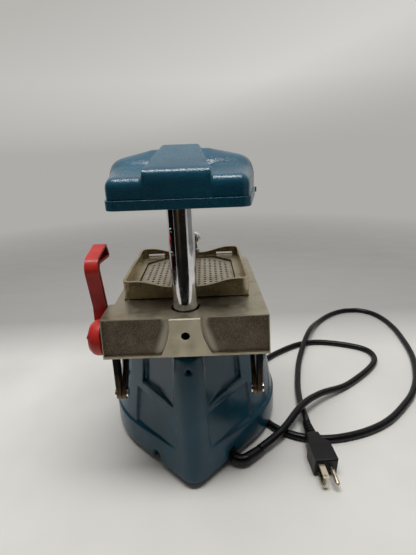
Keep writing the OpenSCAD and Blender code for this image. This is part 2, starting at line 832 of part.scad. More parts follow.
module friction_plunger() {
    color([0.12, 0.12, 0.13])
    from_post()
    translate([0, post_d / 2 + 0.1, plunger_z])
        rotate([-90, 0, 0])
            difference() {
                union() {
                    cylinder(d = plunger_d - 2.2, h = 5, $fn = 40);
                    translate([0, 0, 3]) cylinder(d = plunger_d - 0.2, h = 7, $fn = 40);
                }
                translate([0, 0, 7]) cylinder(d = 4, h = 5, $fn = 6);
            }
}

// Rounded square
module soft_square(w, d, r) {
    for (x = [-1, 1], y = [-1, 1])
        translate([x * (w / 2 - r), y * (d / 2 - r)]) circle(r = r, $fn = 48);
    square([w - 2 * r, d], center = true);
    square([w, d - 2 * r], center = true);
}

// Line of the front and rear rims: full height at the corners, dipped between
module dip_outline() {
    steps = 14;
    side = [for (i = [0 : steps]) let (t = i / steps)
        [dip_half - (dip_half - dip_flat) * t, rim_z - rim_dip * (1 - cos(180 * t)) / 2]];
    polygon(concat([[dip_half, rim_z + 5]], side,
                   [for (i = [steps : -1 : 0]) [-side[i][0], side[i][1]]], [[-dip_half, rim_z + 5]]));
}

module clamp_frame() {
    wall_h = rim_z - frame_under;
    slot_z = floor_z + 0.6;
    color([0.66, 0.64, 0.57])
    from_post()
    difference() {
        union() {
            translate([0, sheet_y, frame_under]) linear_extrude(wall_h)
                soft_square(frame_w, frame_d, corner_r);
            translate([lug_x, lug_y, floor_z - 3]) cylinder(r = lug_r, h = 6, $fn = 48);
            translate([lug_x - lug_r, lug_y, floor_z - 3]) cube([2 * lug_r, 10, 6]);
            for (s = [-1, 1]) mirror([s > 0 ? 0 : 1, 0, 0])
                translate([leg_x, leg_y, 0]) {
                    translate([0, -leg_w / 2, leg_z]) cube([leg_t, leg_w, frame_under - leg_z + 1]);
                    translate([0, 0, leg_z]) rotate([0, 90, 0]) cylinder(d = leg_w + 2, h = leg_t, $fn = 48);
                }
        }
        translate([0, sheet_y, floor_z])
            linear_extrude(30) soft_square(frame_w - 2 * rim_t, frame_d - 2 * rim_t, corner_r - rim_t);
        translate([0, sheet_y, frame_under - cut])
            linear_extrude(30) cut_square(opening_w, platform_cut - 0.8);
        difference() {
            translate([0, sheet_y, frame_under - cut])
                linear_extrude(floor_z - frame_floor_t - frame_under + cut)
                    soft_square(frame_w - 2 * rim_t, frame_d - 2 * rim_t, corner_r - rim_t);
            for (s = [-1, 1])
                translate([s * (leg_x + leg_t / 2) - 5, leg_y - leg_w / 2 - 4, 0]) cube([10, leg_w + 6, 300]);
        }
        translate([0, 0, 0]) rotate([90, 0, 0]) linear_extrude(300) dip_outline();
        for (s = [-1, 1])
            translate([s * 47 - 11, -frame_back - frame_d - cut, slot_z]) cube([22, rim_t + 2 * cut, 2.6]);
        translate([lug_x, lug_y, frame_under]) cylinder(d = stud_d + 2 * run_gap, h = 40, $fn = 48);
        for (s = [-1, 1])
            translate([s * (leg_x + leg_t / 2), leg_y, leg_z]) rotate([0, 90, 0])
                cylinder(d = 5 + 2 * open_gap, h = 20, center = true, $fn = 48);
    }
}

module frame_gasket() {
    color([0.06, 0.06, 0.06])
    from_post()
    translate([0, sheet_y, top_z])
        linear_extrude(gasket_t) difference() {
            soft_square(frame_w - 2, frame_d - 2, corner_r - 1);
            soft_square(frame_w - 13, frame_d - 8, corner_r - 2);
            for (s = [-1, 1])
                translate([s * (leg_x + leg_t / 2), leg_y - sheet_y])
                    square([leg_t + 1, leg_w + 1], center = true);
        }
}

module clamp_screw() {
    color([0.75, 0.76, 0.78])
    from_post()
    translate([lug_x, lug_y, 0])
        rotate_extrude($fn = 48)
            polygon([[0, top_z + 0.2], [stud_d / 2 - 1, top_z + 0.2], [stud_d / 2, top_z + 1.2],
                     [stud_d / 2, floor_z + 3.1], [7, floor_z + 3.1], [7, floor_z + 6], [5.5, floor_z + 7.5],
                     [stud_d / 2, floor_z + 7.5], [stud_d / 2, ball_z], [0, ball_z]]);
}

module ball_knob() {
    ribs = 12;
    color([0.85, 0.86, 0.88])
    from_post()
    translate([lug_x, lug_y, 0])
        difference() {
            union() {
                translate([0, 0, ball_z]) rotate_extrude($fn = 64)
                    intersection() {
                        circle(r = ball_r, $fn = 64);
                        translate([0, -ball_r]) square([ball_r, 2 * ball_r]);
                    }
                translate([0, 0, floor_z + 7.6])
                    cylinder(r1 = 5.2, r2 = 4.2, h = ball_z - floor_z - 11, $fn = 48);
            }
            translate([0, 0, floor_z + 7])
                cylinder(d = stud_d + 0.02, h = ball_z - floor_z - 7 + 0.1, $fn = 48);
            for (i = [0 : ribs - 1])
                rotate([0, 0, i * 360 / ribs]) translate([ball_r + 1.1, 0, ball_z - 12])
                    cylinder(r = 1.7, h = 24, $fn = 24);
        }
}

// Lever side view in the YZ plane: leaning arm, round bend and forward handle
module lever_outline(inset) {
    up = (arm_corner - arm_foot) / norm(arm_corner - arm_foot);
    out = (handle_top - arm_corner) / norm(handle_top - arm_corner);
    half = acos(-up * out) / 2;
    middle = arm_corner + (out - up) / norm(out - up) * bend_r / sin(half);
    from = atan2(-up[0], up[1]);
    offset(r = 3 - inset, $fn = 40) offset(delta = -3)
        polygon(concat(
            [[-4, shaft_z - 8], arm_foot],
            [for (i = [0 : 8]) middle + bend_r * [cos(from + (180 - 2 * half) * i / 8),
                                                  sin(from + (180 - 2 * half) * i / 8)]],
            [handle_top, handle_low],
            [for (i = [6 : -1 : 0]) middle + (bend_r - arm_t) * [cos(from + (180 - 2 * half) * i / 6),
                                                            sin(from + (180 - 2 * half) * i / 6)]],
            [[-16, arm_foot[1] - 4], [-16, shaft_z - 2]]
        ));
}

module lever() {
    color([0.66, 0.12, 0.1])
    from_post()
    difference() {
        union() {
            translate([lever_x, 0, 0]) rotate([90, 0, 90]) linear_extrude(lever_w - 1) lever_outline(0);
            translate([lever_x, shaft_y, shaft_z]) rotate([0, 90, 0]) rotate([0, 0, 90])
                rotate_extrude($fn = 96)
                    polygon([[0, 0], [hub_d / 2, 0], [hub_d / 2, 6],
                             [hub_d / 2 - 1.2, 9], [hub_d / 2 - 4, 12],
                             [hub_d / 2 - 8, 13.4], [6, 14.4], [0, 14.4]]);
        }
        difference() {
            translate([lever_x - cut, 0, 0]) rotate([90, 0, 90])
                linear_extrude(lever_w - 1 - lever_wall + cut) lever_outline(lever_wall);
            translate([lever_x - 2, shaft_y, shaft_z]) rotate([0, 90, 0])
                cylinder(d = hub_d, h = lever_w + 16, $fn = 64);
        }
        translate([lever_x - cut, shaft_y, shaft_z]) rotate([0, 90, 0])
            cylinder(d = shaft_d + 0.02, h = 10 + cut, $fn = 64);
        translate([lever_x - cut, shaft_y, shaft_z]) rotate([0, 90, 0])
            cylinder(d = 5.1, h = lever_w + 26, $fn = 40);
    }
}

module lever_shaft() {
    color([0.55, 0.55, 0.56])
    from_post()
    translate([link_x - 9.5, shaft_y, shaft_z]) rotate([0, 90, 0])
        difference() {
            union() {
                cylinder(d = shaft_d, h = lever_x + 10 - link_x + 9.5, $fn = 64);
                translate([0, 0, bar_w / 2 + 0.2 - link_x + 9.5])
                    cylinder(d = shaft_d + 6, h = lever_x - bar_w / 2 - 0.2, $fn = 64);
            }
            translate([0, 0, lever_x - 7 - link_x + 9.5]) cylinder(d = 5.02, h = lever_w + 16, $fn = 40);
        }
}

module lever_screw() {
    color([0.6, 0.6, 0.6])
    from_post()
    translate([lever_x, shaft_y, shaft_z]) rotate([0, 90, 0])
        difference() {
            union() {
                translate([0, 0, -6]) cylinder(d = 5, h = 20, $fn = 40);
                translate([0, 0, 14.4]) rotate_extrude($fn = 48)
                    polygon([[0, -2], [2.5, -2], [2.5, 0], [4.6, 0], [4.6, 1], [3.6, 2.2], [0, 2.6]]);
            }
            translate([0, 0, 15.4]) cylinder(d = 2.9, h = 5, $fn = 6);
        }
}

// Bar between two pin centres in the YZ plane, thick along X, eyes of two radii
module bar_2(a, b, ra, rb, x, t) {
    d = b - a;
    l = norm(d);
    n = [-d[1], d[0]] / l;
    wa = ra * 0.8;
    wb = rb * 0.92;
    translate([x, 0, 0]) rotate([90, 0, 90]) union() {
        translate(a) cylinder(r = ra, h = t, $fn = 64);
        translate(b) cylinder(r = rb, h = t, $fn = 64);
        linear_extrude(t) polygon([a + n * wa, b + n * wb, b - n * wb, a - n * wa]);
    }
}

module x_bore(at, d, x0, x1) {
    translate([x0, at[0], at[1]]) rotate([0, 90, 0]) cylinder(d = d, h = x1 - x0, $fn = 64);
}

module crank(side) {
    mirror([side > 0 ? 0 : 1, 0, 0])
    difference() {
        bar_2(shaft_at, pin_at, crank_eye, 6.5, crank_x, crank_t);
        x_bore(shaft_at, shaft_d + 0.02, crank_x - cut, crank_x + crank_t + cut);
        x_bore(pin_at, pin_d + 0.02, crank_x - cut, crank_x + crank_t + cut);
    }
}

module left_crank() {
    color([0.1, 0.1, 0.1]) from_post() crank(1);
}

module right_crank() {
    color([0.1, 0.1, 0.1]) from_post() crank(-1);
}

// Link with a fixed stud at its top that works in the open hole of the leg
module link(side) {
    mirror([side > 0 ? 0 : 1, 0, 0])
    difference() {
        union() {
            bar_2(leg_at, pin_at, 6, 6.5, link_x, link_t);
            x_bore(leg_at, 5, leg_x + 0.2, link_x + 1);
        }
        x_bore(pin_at, pin_d + 2 * run_gap, link_x - cut, link_x + link_t + cut);
    }
}

module left_link() {
    color([0.12, 0.11, 0.1]) from_post() link(1);
}

module right_link() {
    color([0.12, 0.11, 0.1]) from_post() link(-1);
}

// Crank pin with a riveted head outside and a washer head inside
module crank_pin(side) {
    head = 1.8;
    mirror([side > 0 ? 0 : 1, 0, 0]) {
        x_bore(pin_at, pin_d, link_x - side_gap - 0.2, crank_x + crank_t + 0.2);
        x_bore(pin_at, pin_d + 3.6, link_x - 0.2 - head, link_x - 0.2);
        x_bore(pin_at, pin_d + 3.6, crank_x + crank_t, crank_x + crank_t + head);
    }
}

module left_pin() {
    color([0.8, 0.8, 0.8]) from_post() crank_pin(1);
}

module right_pin() {
    color([0.8, 0.8, 0.8]) from_post() crank_pin(-1);
}

module right_shaft() {
    color([0.55, 0.55, 0.56])
    from_post()
    mirror([1, 0, 0]) translate([link_x - 9.5, shaft_y, shaft_z]) rotate([0, 90, 0])
        cylinder(d = shaft_d, h = bar_w / 2 - link_x + 9.5 - 0.4, $fn = 64);
}

// Plan of the head: narrow at the rear, wider from the middle to the front
module head_plan(inset) {
    hull() for (s = [-1, 1]) {
        translate([s * (head_rear_w / 2 - 10), head_back - 10]) circle(r = 10 - inset * 0.6, $fn = 32);
        translate([s * (head_w / 2 - 30), head_mid]) circle(r = 30 - inset, $fn = 48);
        translate([s * (head_w / 2 - 30), head_front + 30]) circle(r = 30 - inset, $fn = 48);
    }
}

// Round stack: a cylinder from the foot of the cover with a soft upper edge
module stack(x, y, r, top, soft, foot) {
    translate([x, y, 0])
        rotate_extrude($fn = 48)
            polygon(concat([[0, foot], [r, foot]],
                           [for (a = [0 : 22.5 : 90]) [r - soft + soft * cos(a), top - soft + soft * sin(a)]],
                           [[0, top]]));
}

// Rear block of the cover: two noses, and a slope up to the middle
module head_rear(inset, foot) {
    nose_x = head_rear_w / 2 - cover_in - 10;
    hull() for (s = [-1, 1]) {
        stack(s * nose_x, head_back - cover_in - 10, 10 - inset, nose_top - inset, 9 - inset, foot);
        stack(s * (head_w / 2 - cover_in - 30), head_mid, 30 - inset, nose_top + 6 - inset, 12 - inset, foot);
    }
}

// Main body of the cover, higher and wider than the rear block
module head_main(inset, foot) {
    side_x = head_w / 2 - cover_in;
    hull() for (s = [-1, 1]) {
        stack(s * (side_x - 26), head_mid, 26 - inset, shoulder_top - inset, 16 - inset, foot);
        stack(s * (side_x - 29), head_front + cover_in + 29,
              29 - inset, shoulder_top - 4 - inset, 16 - inset, foot);
        stack(s * 26, head_mid - 4, 12 - inset, head_top - 4.5 - inset, 8 - inset, foot);
        stack(s * 26, head_front + 50, 12 - inset, head_top - 7 - inset, 8 - inset, foot);
    }
}

// Raised band along the top: wide ends, narrow waist
module band_end(w, y, top, soft, foot) {
    translate([-w / 2, y, top - soft]) rotate([0, 90, 0]) cylinder(r = soft, h = w, $fn = 40);
    translate([-w / 2, y - soft, foot]) cube([w, 2 * soft, 1]);
}

module head_band() {
    hull() {
        band_end(59, head_back - cover_in - 5.4, band_rear_top, 6, cover_z);
        band_end(38, head_mid - 4, head_top, 4, wall_top);
    }
    hull() {
        band_end(38, head_mid - 4, head_top, 4, wall_top);
        band_end(56, head_front + 30, shoulder_top, 4, wall_top);
    }
}

module head_cover() {
    color([0.1, 0.38, 0.48])
    from_post()
    difference() {
        union() {
            head_rear(0, cover_z);
            head_main(0, cover_z);
            head_band();
        }
        difference() {
            union() {
                head_rear(head_wall, cover_z - cut);
                head_main(head_wall, cover_z - cut);
            }
            for (x = [-1, 1], y = pillar_y)
                translate([x * pillar_x, y, boss_z + 6]) cylinder(d = 10, h = 60, $fn = 32);
        }
        intersection() {
            translate([0, 0, cover_z - cut]) cylinder(r = 17, h = post_top - cover_z + 3, $fn = 64);
            translate([-30, -40, 0]) cube([60, 40 + head_back - cover_in - head_wall, 400]);
        }
        for (x = [-1, 1], y = pillar_y)
            translate([x * pillar_x, y, boss_z + 6 - cut]) cylinder(d = 3.42, h = 7, $fn = 24);
    }
}

module head_skirt() {
    color([0.11, 0.4, 0.5])
    from_post()
    difference() {
        union() {
            translate([0, 0, head_z]) linear_extrude(band_h) head_plan(0);
            translate([-head_w / 2 + 1, -70, head_z + 2.4]) cylinder(r = 4, h = band_h - 3.4, $fn = 32);
        }
        translate([0, 0, head_z - cut]) linear_extrude(band_h - 2.5 + cut) head_plan(head_wall);
        translate([0, 0, head_z - cut]) linear_extrude(band_h + 2 * cut) head_plan(head_wall + 5);
        intersection() {
            translate([0, 0, head_z - cut]) cylinder(r = 17, h = 20, $fn = 64);
            translate([-30, -40, 0]) cube([60, 40 + head_back - head_wall, 400]);
        }
    }
}

module head_boss() {
    inner = head_back - cover_in - head_wall - 0.2;
    color([0.4, 0.42, 0.44])
    from_post()
    difference() {
        intersection() {
            union() {
                translate([0, 0, boss_z]) cylinder(d = 34, h = ring_z - 0.2 - boss_z, $fn = 72);
                translate([-48, -32, boss_z + 1]) cube([96, 40, 5]);
            }
            translate([-60, -50, 0]) cube([120, 50 + inner, 400]);
        }
        translate([0, 0, boss_z - cut]) cylinder(d = post_d + 2 * run_gap, h = 40, $fn = 96);
        for (x = [-1, 1], y = pillar_y)
            translate([x * pillar_x, y, boss_z]) cylinder(d = 4.4, h = 10, $fn = 24);
    }
}

// Screws that hold the boss plate to the pillars of the cover
module boss_screws() {
    color([0.7, 0.7, 0.7])
    from_post()
    for (x = [-1, 1], y = pillar_y)
        translate([x * pillar_x, y, boss_z + 1])
            difference() {
                rotate_extrude($fn = 32)
                    polygon([[0, -0.6], [2.6, -0.6], [3.4, 0], [1.7, 0], [1.7, 11], [0, 11]]);
                translate([0, 0, -cut]) cylinder(d = 2.2, h = 1.6, $fn = 6);
            }
}

// Collar that carries the head, with its set screw hole, and the ring above
module head_collar() {
    color([0.62, 0.63, 0.64])
    from_post()
    difference() {
        translate([0, 0, collar_z])
            rotate_extrude($fn = 72)
                polygon([[post_d / 2 + 0.01, 0], [14.2, 0], [15, 0.8], [15, boss_z - collar_z],
                         [post_d / 2 + 0.01, boss_z - collar_z]]);
        translate([0, 0, collar_z + 4]) rotate([0, 90, 30]) cylinder(d = 3.4, h = 30, $fn = 32);
    }
}

module head_ring() {
    color([0.3, 0.3, 0.31])
    from_post()
    translate([0, 0, ring_z])
        difference() {
            cylinder(d = 29, h = ring_t, $fn = 64);
            translate([0, 0, -cut]) cylinder(d = post_d - 2.36, h = ring_t + 2 * cut, $fn = 64);
            translate([-4, -20, -cut]) cube([8, 12, ring_t + 2 * cut]);
        }
}

// The reflector keeps its gap to the cover in the noses too, so their arcs
// keep the cover's centres
module reflector_plan(inset) {
    nose_x = head_rear_w / 2 - cover_in - 10;
    hull() for (s = [-1, 1]) {
        translate([s * nose_x, head_back - cover_in - 10]) circle(r = 10 + cover_in - inset, $fn = 32);
        translate([s * (head_w / 2 - 30), head_mid]) circle(r = 30 - inset, $fn = 48);
        translate([s * (head_w / 2 - 30), head_front + 30]) circle(r = 30 - inset, $fn = 48);
    }
}

module reflector() {
    color([0.75, 0.75, 0.74])
    from_post()
    translate([0, 0, cover_z])
        difference() {
            linear_extrude(1.2) reflector_plan(head_wall + cover_in + 0.4);
            translate([0, 0, -cut]) cylinder(d = 38, h = 4, $fn = 64);
            rivet_holes(cover_z);
        }
}

module rivet_holes(z) {
    for (x = [-1, 1], y = [-1, 1])
        translate([x * rivet_x, sheet_y + y * rivet_x, head_z - z]) cylinder(d = 3.02, h = 20, $fn = 32);
}

// Row centres of the coil, from rear to front
function coil_y(i) = sheet_y + (i - (coil_rows - 1) / 2) * coil_pitch;

module coil_path(d) {
    for (i = [0 : coil_rows - 1])
        translate([-coil_run / 2, coil_y(i), coil_z]) rotate([0, 90, 0])
            cylinder(d = d, h = coil_run, $fn = 24);
    for (i = [0 : coil_rows - 2])
        translate([(i % 2 == 0 ? 1 : -1) * coil_run / 2, (coil_y(i) + coil_y(i + 1)) / 2, coil_z])
            rotate([0, 0, i % 2 == 0 ? -90 : 90])
                rotate_extrude(angle = 180, $fn = 32) translate([coil_pitch / 2, 0]) circle(d = d, $fn = 24);
    for (i = [0, coil_rows - 1])
        translate([-coil_run / 2 - 4, coil_y(i), coil_z]) rotate([0, 90, 0]) cylinder(d = d, h = 5, $fn = 24);
}

module ceramic_plate() {
    color([0.86, 0.83, 0.76])
    from_post()
    difference() {
        translate([-ceramic_w / 2, sheet_y - ceramic_w / 2, coil_z])
            cube([ceramic_w, ceramic_w, cover_z - coil_z]);
        coil_path(coil_d + 0.04);
        rivet_holes(0);
    }
}

module heater_coil() {
    color([0.42, 0.4, 0.38])
    from_post()
    coil_path(coil_d);
}

// Rivets through the reflector and the ceramic plate
module plate_rivets() {
    color([0.7, 0.7, 0.7])
    from_post()
    for (x = [-1, 1], y = [-1, 1])
        translate([x * rivet_x, sheet_y + y * rivet_x, 0])
            rotate_extrude($fn = 32)
                polygon([[0, coil_z - 1.4], [2.4, coil_z - 1.4], [3.4, coil_z], [1.5, coil_z],
                         [1.5, cover_z + 1.2], [3, cover_z + 1.2], [3, cover_z + 2], [0, cover_z + 2]]);
}

// Moulded elbow of the cord: a block in the notch, a bend, a tapered sleeve
module strain_relief() {
    end = [elbow_r - elbow_r * cos(elbow_turn), elbow_r * sin(elbow_turn) + 1];
    color([0.05, 0.05, 0.05])
    from_post()
    on_flank(-1)
    difference() {
        union() {
            translate([notch_run, 1, 0])
                rotate([90, 0, 0])
                    linear_extrude(base_wall + 3)
                        intersection() {
                            offset(delta = -0.02) notch_outline();
                            translate([-20, foot_h]) square([40, 40]);
                        }
            translate([notch_run, -base_wall - 2, relief_z])
                rotate([-90, 0, 0]) cylinder(d = relief_d, h = base_wall + 3, $fn = 48);
            translate([notch_run + elbow_r, 1, relief_z])
                rotate([0, 0, 180 - elbow_turn])
                    rotate_extrude(angle = elbow_turn, $fn = 96)
                        translate([elbow_r, 0]) circle(d = relief_d, $fn = 48);
            translate([notch_run + end[0], end[1], relief_z])
                rotate([0, 0, 90 - elbow_turn]) rotate([0, 90, 0])
                    cylinder(d1 = relief_d, d2 = cord_d + 1.6, h = relief_len, $fn = 48);
        }
        translate([notch_run + end[0], end[1], relief_z])
            rotate([0, 0, 90 - elbow_turn]) rotate([0, 90, 0]) translate([0, 0, relief_len - 4])
                cylinder(d = cord_d + 0.02, h = 10, $fn = 48);
    }
}

// Smooth curve through the route, two steps between neighbours, on the table
function at_step(i, t) =
    let (n = len(ROUTE), a = ROUTE[max(i - 1, 0)], b = ROUTE[i], c = ROUTE[min(i + 1, n - 1)],
         d = ROUTE[min(i + 2, n - 1)],
         p = 0.5 * (2 * b + (c - a) * t + (2 * a - 5 * b + 4 * c - d) * t * t
                    + (3 * b - a - 3 * c + d) * t * t * t))
    [p[0], p[1], max(p[2], cord_d / 2)];

function unit(v) = v / norm(v);

module cord() {
    n = len(ROUTE);
    line = concat([for (i = [0 : n - 2], t = [0, 0.5]) at_step(i, t)], [ROUTE[n - 1]]);
    m = len(line);
    sides = 8;
    pts = [for (k = [0 : m - 1])
        let (f = unit(line[min(k + 1, m - 1)] - line[max(k - 1, 0)]),
             r = unit(cross(f, [0, 0, 1])), u = cross(r, f))
        for (s = [0 : sides - 1])
            line[k] + cord_d / 2 * (cos(s * 360 / sides) * r + sin(s * 360 / sides) * u)];
    color([0.06, 0.06, 0.06])
    polyhedron(points = pts, faces = concat(
        [[for (s = [sides - 1 : -1 : 0]) s]],
        [for (k = [0 : m - 2], s = [0 : sides - 1])
            [k * sides + s, k * sides + (s + 1) % sides, (k + 1) * sides + (s + 1) % sides,
             (k + 1) * sides + s]],
        [[for (s = [0 : sides - 1]) (m - 1) * sides + s]]
    ), convexity = 10);
}

// Plug frame: origin in the middle of the contact face, +Y toward the pins
module at_plug() {
    translate([plug_x, plug_face, plug_z])
        rotate([0, 0, plug_turn])
            rotate([-plug_pitch, 0, 0])
                children();
}

module plug_body() {
    color([0.07, 0.07, 0.07])
    at_plug()
    difference() {
        union() {
            intersection() {
                translate([0, 0, -plug_h / 2]) linear_extrude(plug_h)
                    offset(r = 1.6, $fn = 24) offset(delta = -1.6)
                        polygon([[12.6, 0], [12.8, -26], [10, -34], [8.6, -plug_len],
                                 [-5.6, -plug_len], [-6.4, -33], [-13, -27], [-14, 0]]);
                rotate([90, 0, 90]) linear_extrude(60, center = true)
                    offset(r = 2, $fn = 24) offset(delta = -2)
                        polygon([[0, -plug_h / 2], [0, plug_h / 2], [-24, plug_h / 2],
                                 [-plug_len, 7.4], [-plug_len, -7.4], [-24, -plug_h / 2]]);
            }
            translate([tail_x, -plug_len + 1, 0]) rotate([90, 0, 0])
                rotate_extrude($fn = 32)
                    polygon(concat([[0, 0], [7, 0]],
                        [for (i = [0 : 4]) each [
                            [7 - i * 0.45, i * 4.6 + 2.6], [5.6 - i * 0.25, i * 4.6 + 3],
                            [5.6 - i * 0.25, i * 4.6 + 4.2], [6.7 - i * 0.45, i * 4.6 + 4.6]
                        ]],
                        [[cord_d / 2 + 0.6, tail_len], [0, tail_len]]));
        }
        translate([tail_x, -plug_len + 1 - tail_len + 4, 0]) rotate([90, 0, 0])
            cylinder(d = cord_d + 0.02, h = 10, $fn = 32);
    }
}

module plug_pins() {
    color([0.8, 0.76, 0.62])
    at_plug() {
        for (s = [-1, 1])
            translate([blade_x, 0, s * 6.35])
                difference() {
                    translate([-3.2, 0, -0.75]) cube([6.4, 18, 1.5]);
                    translate([0, 14, -2]) cylinder(d = 3, h = 4, $fn = 24);
                    for (k = [-1, 1])
                        translate([k * 3.2, 18, -2]) rotate([0, 0, 45]) cube([2, 2, 8], center = true);
                }
        translate([blade_x - 11.9, 0, 0]) rotate([-90, 0, 0])
            rotate_extrude($fn = 32)
                polygon([[0, 0], [2.4, 0], [2.4, 19], [1.8, 20.6], [0.8, 21.4], [0, 21.4]]);
    }
}

base_shell();
bottom_cover();
rubber_feet();
cover_screws();
post();
post_set_screw();
platform_casting();
platform_seal();
perforated_plate();
fan_housing();
vacuum_motor();
impeller();
terminal_block();
switch_bezels();
rocker_heater();
rocker_vacuum();
carriage();
post_bush();
friction_plunger();
clamp_frame();
frame_gasket();
clamp_screw();
ball_knob();
lever();
lever_shaft();
lever_screw();
left_crank();
left_link();
left_pin();
right_shaft();
right_crank();
right_link();
right_pin();
head_cover();
head_skirt();
head_boss();
boss_screws();
head_collar();
head_ring();
reflector();
ceramic_plate();
heater_coil();
plate_rivets();
strain_relief();
cord();
plug_body();
plug_pins();
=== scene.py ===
import json
import math

import bmesh
import bpy
import numpy as np
from mathutils import Matrix, Vector

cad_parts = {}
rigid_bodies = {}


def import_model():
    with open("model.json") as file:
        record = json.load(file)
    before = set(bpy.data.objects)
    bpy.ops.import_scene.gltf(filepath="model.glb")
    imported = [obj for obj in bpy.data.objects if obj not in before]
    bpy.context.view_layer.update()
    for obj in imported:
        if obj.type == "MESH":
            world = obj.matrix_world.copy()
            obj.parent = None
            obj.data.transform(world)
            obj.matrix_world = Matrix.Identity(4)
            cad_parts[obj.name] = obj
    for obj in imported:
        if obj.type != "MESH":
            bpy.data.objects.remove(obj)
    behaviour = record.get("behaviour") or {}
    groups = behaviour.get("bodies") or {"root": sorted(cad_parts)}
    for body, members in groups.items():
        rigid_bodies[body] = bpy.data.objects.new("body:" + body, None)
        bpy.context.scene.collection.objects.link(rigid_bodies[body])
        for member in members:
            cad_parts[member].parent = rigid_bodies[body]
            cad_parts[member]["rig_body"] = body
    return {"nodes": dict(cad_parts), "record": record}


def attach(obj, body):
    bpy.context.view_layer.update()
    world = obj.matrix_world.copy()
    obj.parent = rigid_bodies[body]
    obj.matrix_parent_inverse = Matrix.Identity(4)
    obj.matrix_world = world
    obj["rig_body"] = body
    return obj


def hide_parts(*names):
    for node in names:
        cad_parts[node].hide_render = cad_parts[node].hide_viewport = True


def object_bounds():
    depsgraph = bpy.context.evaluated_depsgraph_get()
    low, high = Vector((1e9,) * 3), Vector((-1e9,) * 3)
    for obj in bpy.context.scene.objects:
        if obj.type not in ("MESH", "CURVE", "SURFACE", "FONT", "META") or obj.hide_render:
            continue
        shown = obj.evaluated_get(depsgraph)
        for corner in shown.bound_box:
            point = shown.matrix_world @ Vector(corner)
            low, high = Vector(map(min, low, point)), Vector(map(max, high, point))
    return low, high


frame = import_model()
cad_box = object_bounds()
nodes = frame["nodes"]
scene = bpy.context.scene


# ---------------------------------------------------------------- camera
PHOTO_WIDTH = 416
FOCAL_PIXELS = 351.45493
EYE = (-0.02405539, 0.40837663, 0.35800691)
AIM = (0.0015, 0.34975, -0.03786)


def make_camera():
    """Camera fitted to the photograph, from behind the former and above it."""
    yaw, pitch, roll = AIM
    ahead = Vector((math.sin(yaw) * math.cos(pitch), -math.cos(yaw) * math.cos(pitch), -math.sin(pitch)))
    right = ahead.cross(Vector((0, 0, 1))).normalized()
    up = right.cross(ahead)
    x_axis = math.cos(roll) * right + math.sin(roll) * up
    y_axis = -math.sin(roll) * right + math.cos(roll) * up
    data = bpy.data.cameras.new("camera")
    data.sensor_fit = "HORIZONTAL"
    data.sensor_width = 36
    data.lens = data.sensor_width * FOCAL_PIXELS / PHOTO_WIDTH
    data.clip_start = 0.01
    data.clip_end = 20
    camera = bpy.data.objects.new("camera", data)
    scene.collection.objects.link(camera)
    turn = Matrix((x_axis, y_axis, -ahead)).transposed()
    camera.matrix_world = Matrix.Translation(EYE) @ turn.to_4x4()
    scene.camera = camera


make_camera()


# ---------------------------------------------------------------- materials
class Graph:
    """A node tree, written as a few calls."""

    def __init__(self, tree):
        self.tree = tree
        self.coords = tree.nodes.new("ShaderNodeTexCoord").outputs

    def add(self, kind, out, settings=None, **inputs):
        """Adds a node and returns one output. Inputs go by name, or by number as i0, i1."""
        node = self.tree.nodes.new(kind)
        for key, value in (settings or {}).items():
            setattr(node, key, value)
        for key, value in inputs.items():
            numbered = key[0] == "i" and key[1:].isdigit()
            socket = node.inputs[int(key[1:])] if numbered else node.inputs[key.replace("_", " ")]
            if isinstance(value, bpy.types.NodeSocket):
                self.tree.links.new(value, socket)
            else:
                socket.default_value = value
        return node.outputs[out]

    def noise(self, scale, detail=3.0, rough=0.55, stretch=(1, 1, 1)):
        place = self.add("ShaderNodeMapping", 0, Vector=self.coords["Object"], Scale=stretch)
        return self.add("ShaderNodeTexNoise", "Fac", Vector=place, Scale=scale, Detail=detail, Roughness=rough)

    def span(self, value, a, b, low=0.0, high=1.0):
        """Maps a value from a..b to low..high, clamped."""
        return self.add("ShaderNodeMapRange", 0, i0=value, i1=a, i2=b, i3=low, i4=high)

    def math(self, kind, a, b=0.0):
        return self.add("ShaderNodeMath", 0, {"operation": kind}, i0=a, i1=b)

    def mix(self, factor, a, b):
        """Mixes two colours, each an output or three numbers."""
        pair = [c if isinstance(c, bpy.types.NodeSocket) else (*c, 1) for c in (a, b)]
        return self.add("ShaderNodeMix", 2, {"data_type": "RGBA"}, i0=factor, i6=pair[0], i7=pair[1])

    def axis(self, name, source="Object"):
        """One axis of the place on the piece, or of the direction in the world."""
        node = self.tree.nodes.new("ShaderNodeSeparateXYZ")
        self.tree.links.new(self.coords[source], node.inputs[0])
        return node.outputs[name]


class Look(Graph):
    """A procedural material round one shader."""

    def __init__(self, name, color, metallic=0.0, rough=0.5, **sockets):
        self.mat = bpy.data.materials.new(name)
        self.mat.use_nodes = True
        super().__init__(self.mat.node_tree)
        self.shader = self.tree.nodes["Principled BSDF"]
        self.put("Base Color", (*color, 1))
        self.put("Metallic", metallic)
        self.put("Roughness", rough)
        for key, value in sockets.items():
            self.put(key.replace("_", " "), value)

    def put(self, socket, value):
        """Sets a socket of the shader, or links an output to it."""
        if isinstance(value, bpy.types.NodeSocket):
            self.tree.links.new(value, self.shader.inputs[socket])
        else:
            self.shader.inputs[socket].default_value = value

    def bump(self, height, depth, strength=1.0):
        """Gives the shader's normal a relief of that depth in metres."""
        self.put("Normal", self.add("ShaderNodeBump", 0, Distance=depth, Strength=strength, Height=height))


looks = {}


DEEP_BLUE = (0.007, 0.064, 0.108)
PALE_BLUE = (0.011, 0.086, 0.138)
FLECK_BLUE = (0.03, 0.16, 0.23)


